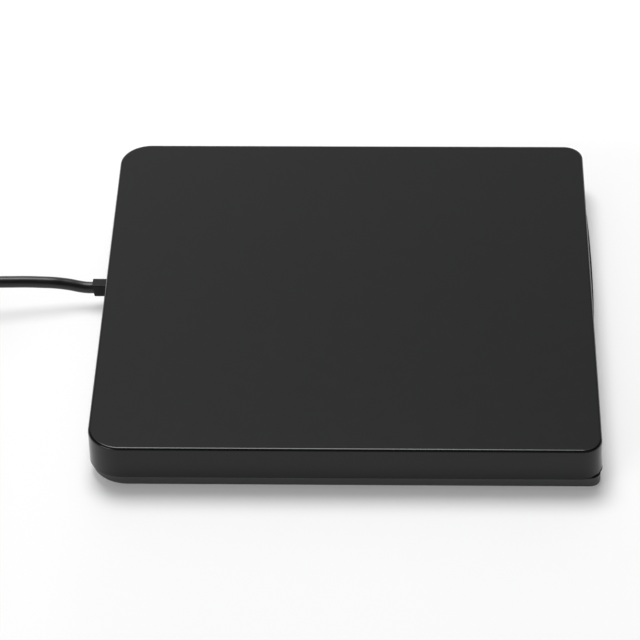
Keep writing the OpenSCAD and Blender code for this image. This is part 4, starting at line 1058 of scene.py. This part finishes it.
def lay_floor():
    """White paper that keeps the shadow near the case, with painted light that pales the cord's shadow, and is plain
    white further off.
    """
    mesh = bmesh.new()
    bmesh.ops.create_grid(mesh, x_segments=2, y_segments=2, size=FLOOR_HALF)
    data = bpy.data.meshes.new("floor")
    mesh.to_mesh(data)
    mesh.free()
    paper = Finish("paper", {"Roughness": 0.9, "Specular IOR Level": 0.0})
    paper.feed({"Base Color": paper.between(paper.noise(60, 3), (0.96, 0.96, 0.96), (0.98, 0.98, 0.98))})
    seen = paper.node("LightPath", output="Is Camera Ray")
    for name in ("Is Glossy Ray", "Is Transmission Ray"):
        seen = paper.maths("MAXIMUM", seen, paper.node("LightPath", output=name))
    away = paper.node("VectorMath", {"operation": "LENGTH"}, {0: paper.place}, "Value")
    along = paper.axis(paper.place, "X")
    # Painted light: more white mixed in over the cord's shadow, between the case and the coil
    lift_and_painted_light = FLOOR_LIFT + CORD_PAINTED_LIGHT * paper.ease(along, *CORD_PAINTED_LIGHT_CASE) * paper.ease(along, *CORD_PAINTED_LIGHT_COIL)
    fade = lift_and_painted_light + (1 - lift_and_painted_light) * paper.ease(away, *FLOOR_FADE)
    white = paper.node("Emission", sockets={"Color": (1, 1, 1, 1), "Strength": 1.0})
    sheet = paper.node("MixShader", sockets={0: fade * seen, 1: paper.surface, 2: white})
    paper.output(sheet)
    data.materials.append(paper.material)
    floor = bpy.data.objects.new("floor", data)
    bpy.context.scene.collection.objects.link(floor)


def hang_softbox(name, at, wide, deep, watts):
    """Hangs a lamp that shines towards the case."""
    lamp = bpy.data.lights.new(name, "AREA")
    lamp.shape = "RECTANGLE"
    lamp.size = wide
    lamp.size_y = deep
    lamp.energy = watts
    holder = bpy.data.objects.new(name, lamp)
    holder.matrix_world = facing(at, at)
    bpy.context.scene.collection.objects.link(holder)


def set_studio():
    """A pale screen and canopy behind, dark wings beside them, a dark aisle with a window on the camera's side."""
    world = bpy.data.worlds.new("studio")
    world.use_nodes = True
    bpy.context.scene.world = world
    room = Shader(world.node_tree)
    way = room.node("TexCoord", output="Generated")
    x, y, z = (room.axis(way, name) for name in "XYZ")
    across = room.maths("ABSOLUTE", x)
    behind = room.ease(y, -0.12, 0.2)
    left = room.ease(x, 0.12, -0.18)
    far_left = room.ease(x, -0.22, -0.4)
    wing = room.ease(across, 0.22, 0.42)
    beside = room.ease(across, 0.6, 0.8) * room.ease(z, 0.06, 0.2)
    screen = SCREEN - room.ease(z, 0.4, 0.52) * (SCREEN_DROP - SCREEN_LEFT * left)
    canopy = (CANOPY - CANOPY_RIGHT * room.ease(x, -0.1, 0.25)) * room.ease(z, 0.61, 0.88)
    back = (screen + canopy) * (1 - WING_SHADE * wing * room.ease(z, 0.1, 0.3))
    aisle = AISLE - AISLE_DROP * room.ease(z, 0.02, 0.2)
    fill = FILL - FILL_DROP * room.ease(z, 0.2, 0.5)
    front = aisle + far_left * (fill - aisle)
    window = room.ease(z, 0.14, 0.18) * room.ease(z, 0.46, 0.4)
    window = WINDOW * window * room.ease(y, -0.34, -0.42) * room.ease(x, -0.48, -0.56)
    light = (behind * back + (1 - behind) * front) * (1 - SIDE_SHADE * beside) + window
    glow = room.node("Background", sockets={"Color": (1, 1, 1, 1), "Strength": light})
    room.node("OutputWorld", sockets={"Surface": glow})
    hang_softbox("softbox", SOFTBOX_AT, SOFTBOX_WIDE, SOFTBOX_DEEP, SOFTBOX_WATTS)
    bpy.context.scene.view_settings.view_transform = "Standard"


set_camera()
cord_set()
cover()
base()
feet()
case_screws()
tray()
flex()
inner_flex()
ejector_coil()
latch_coil()
lens()
lens_suspension()
shield_screws()
for node in EDGES:
    edged(node)
finish_kept_nodes()
lay_floor()
set_studio()
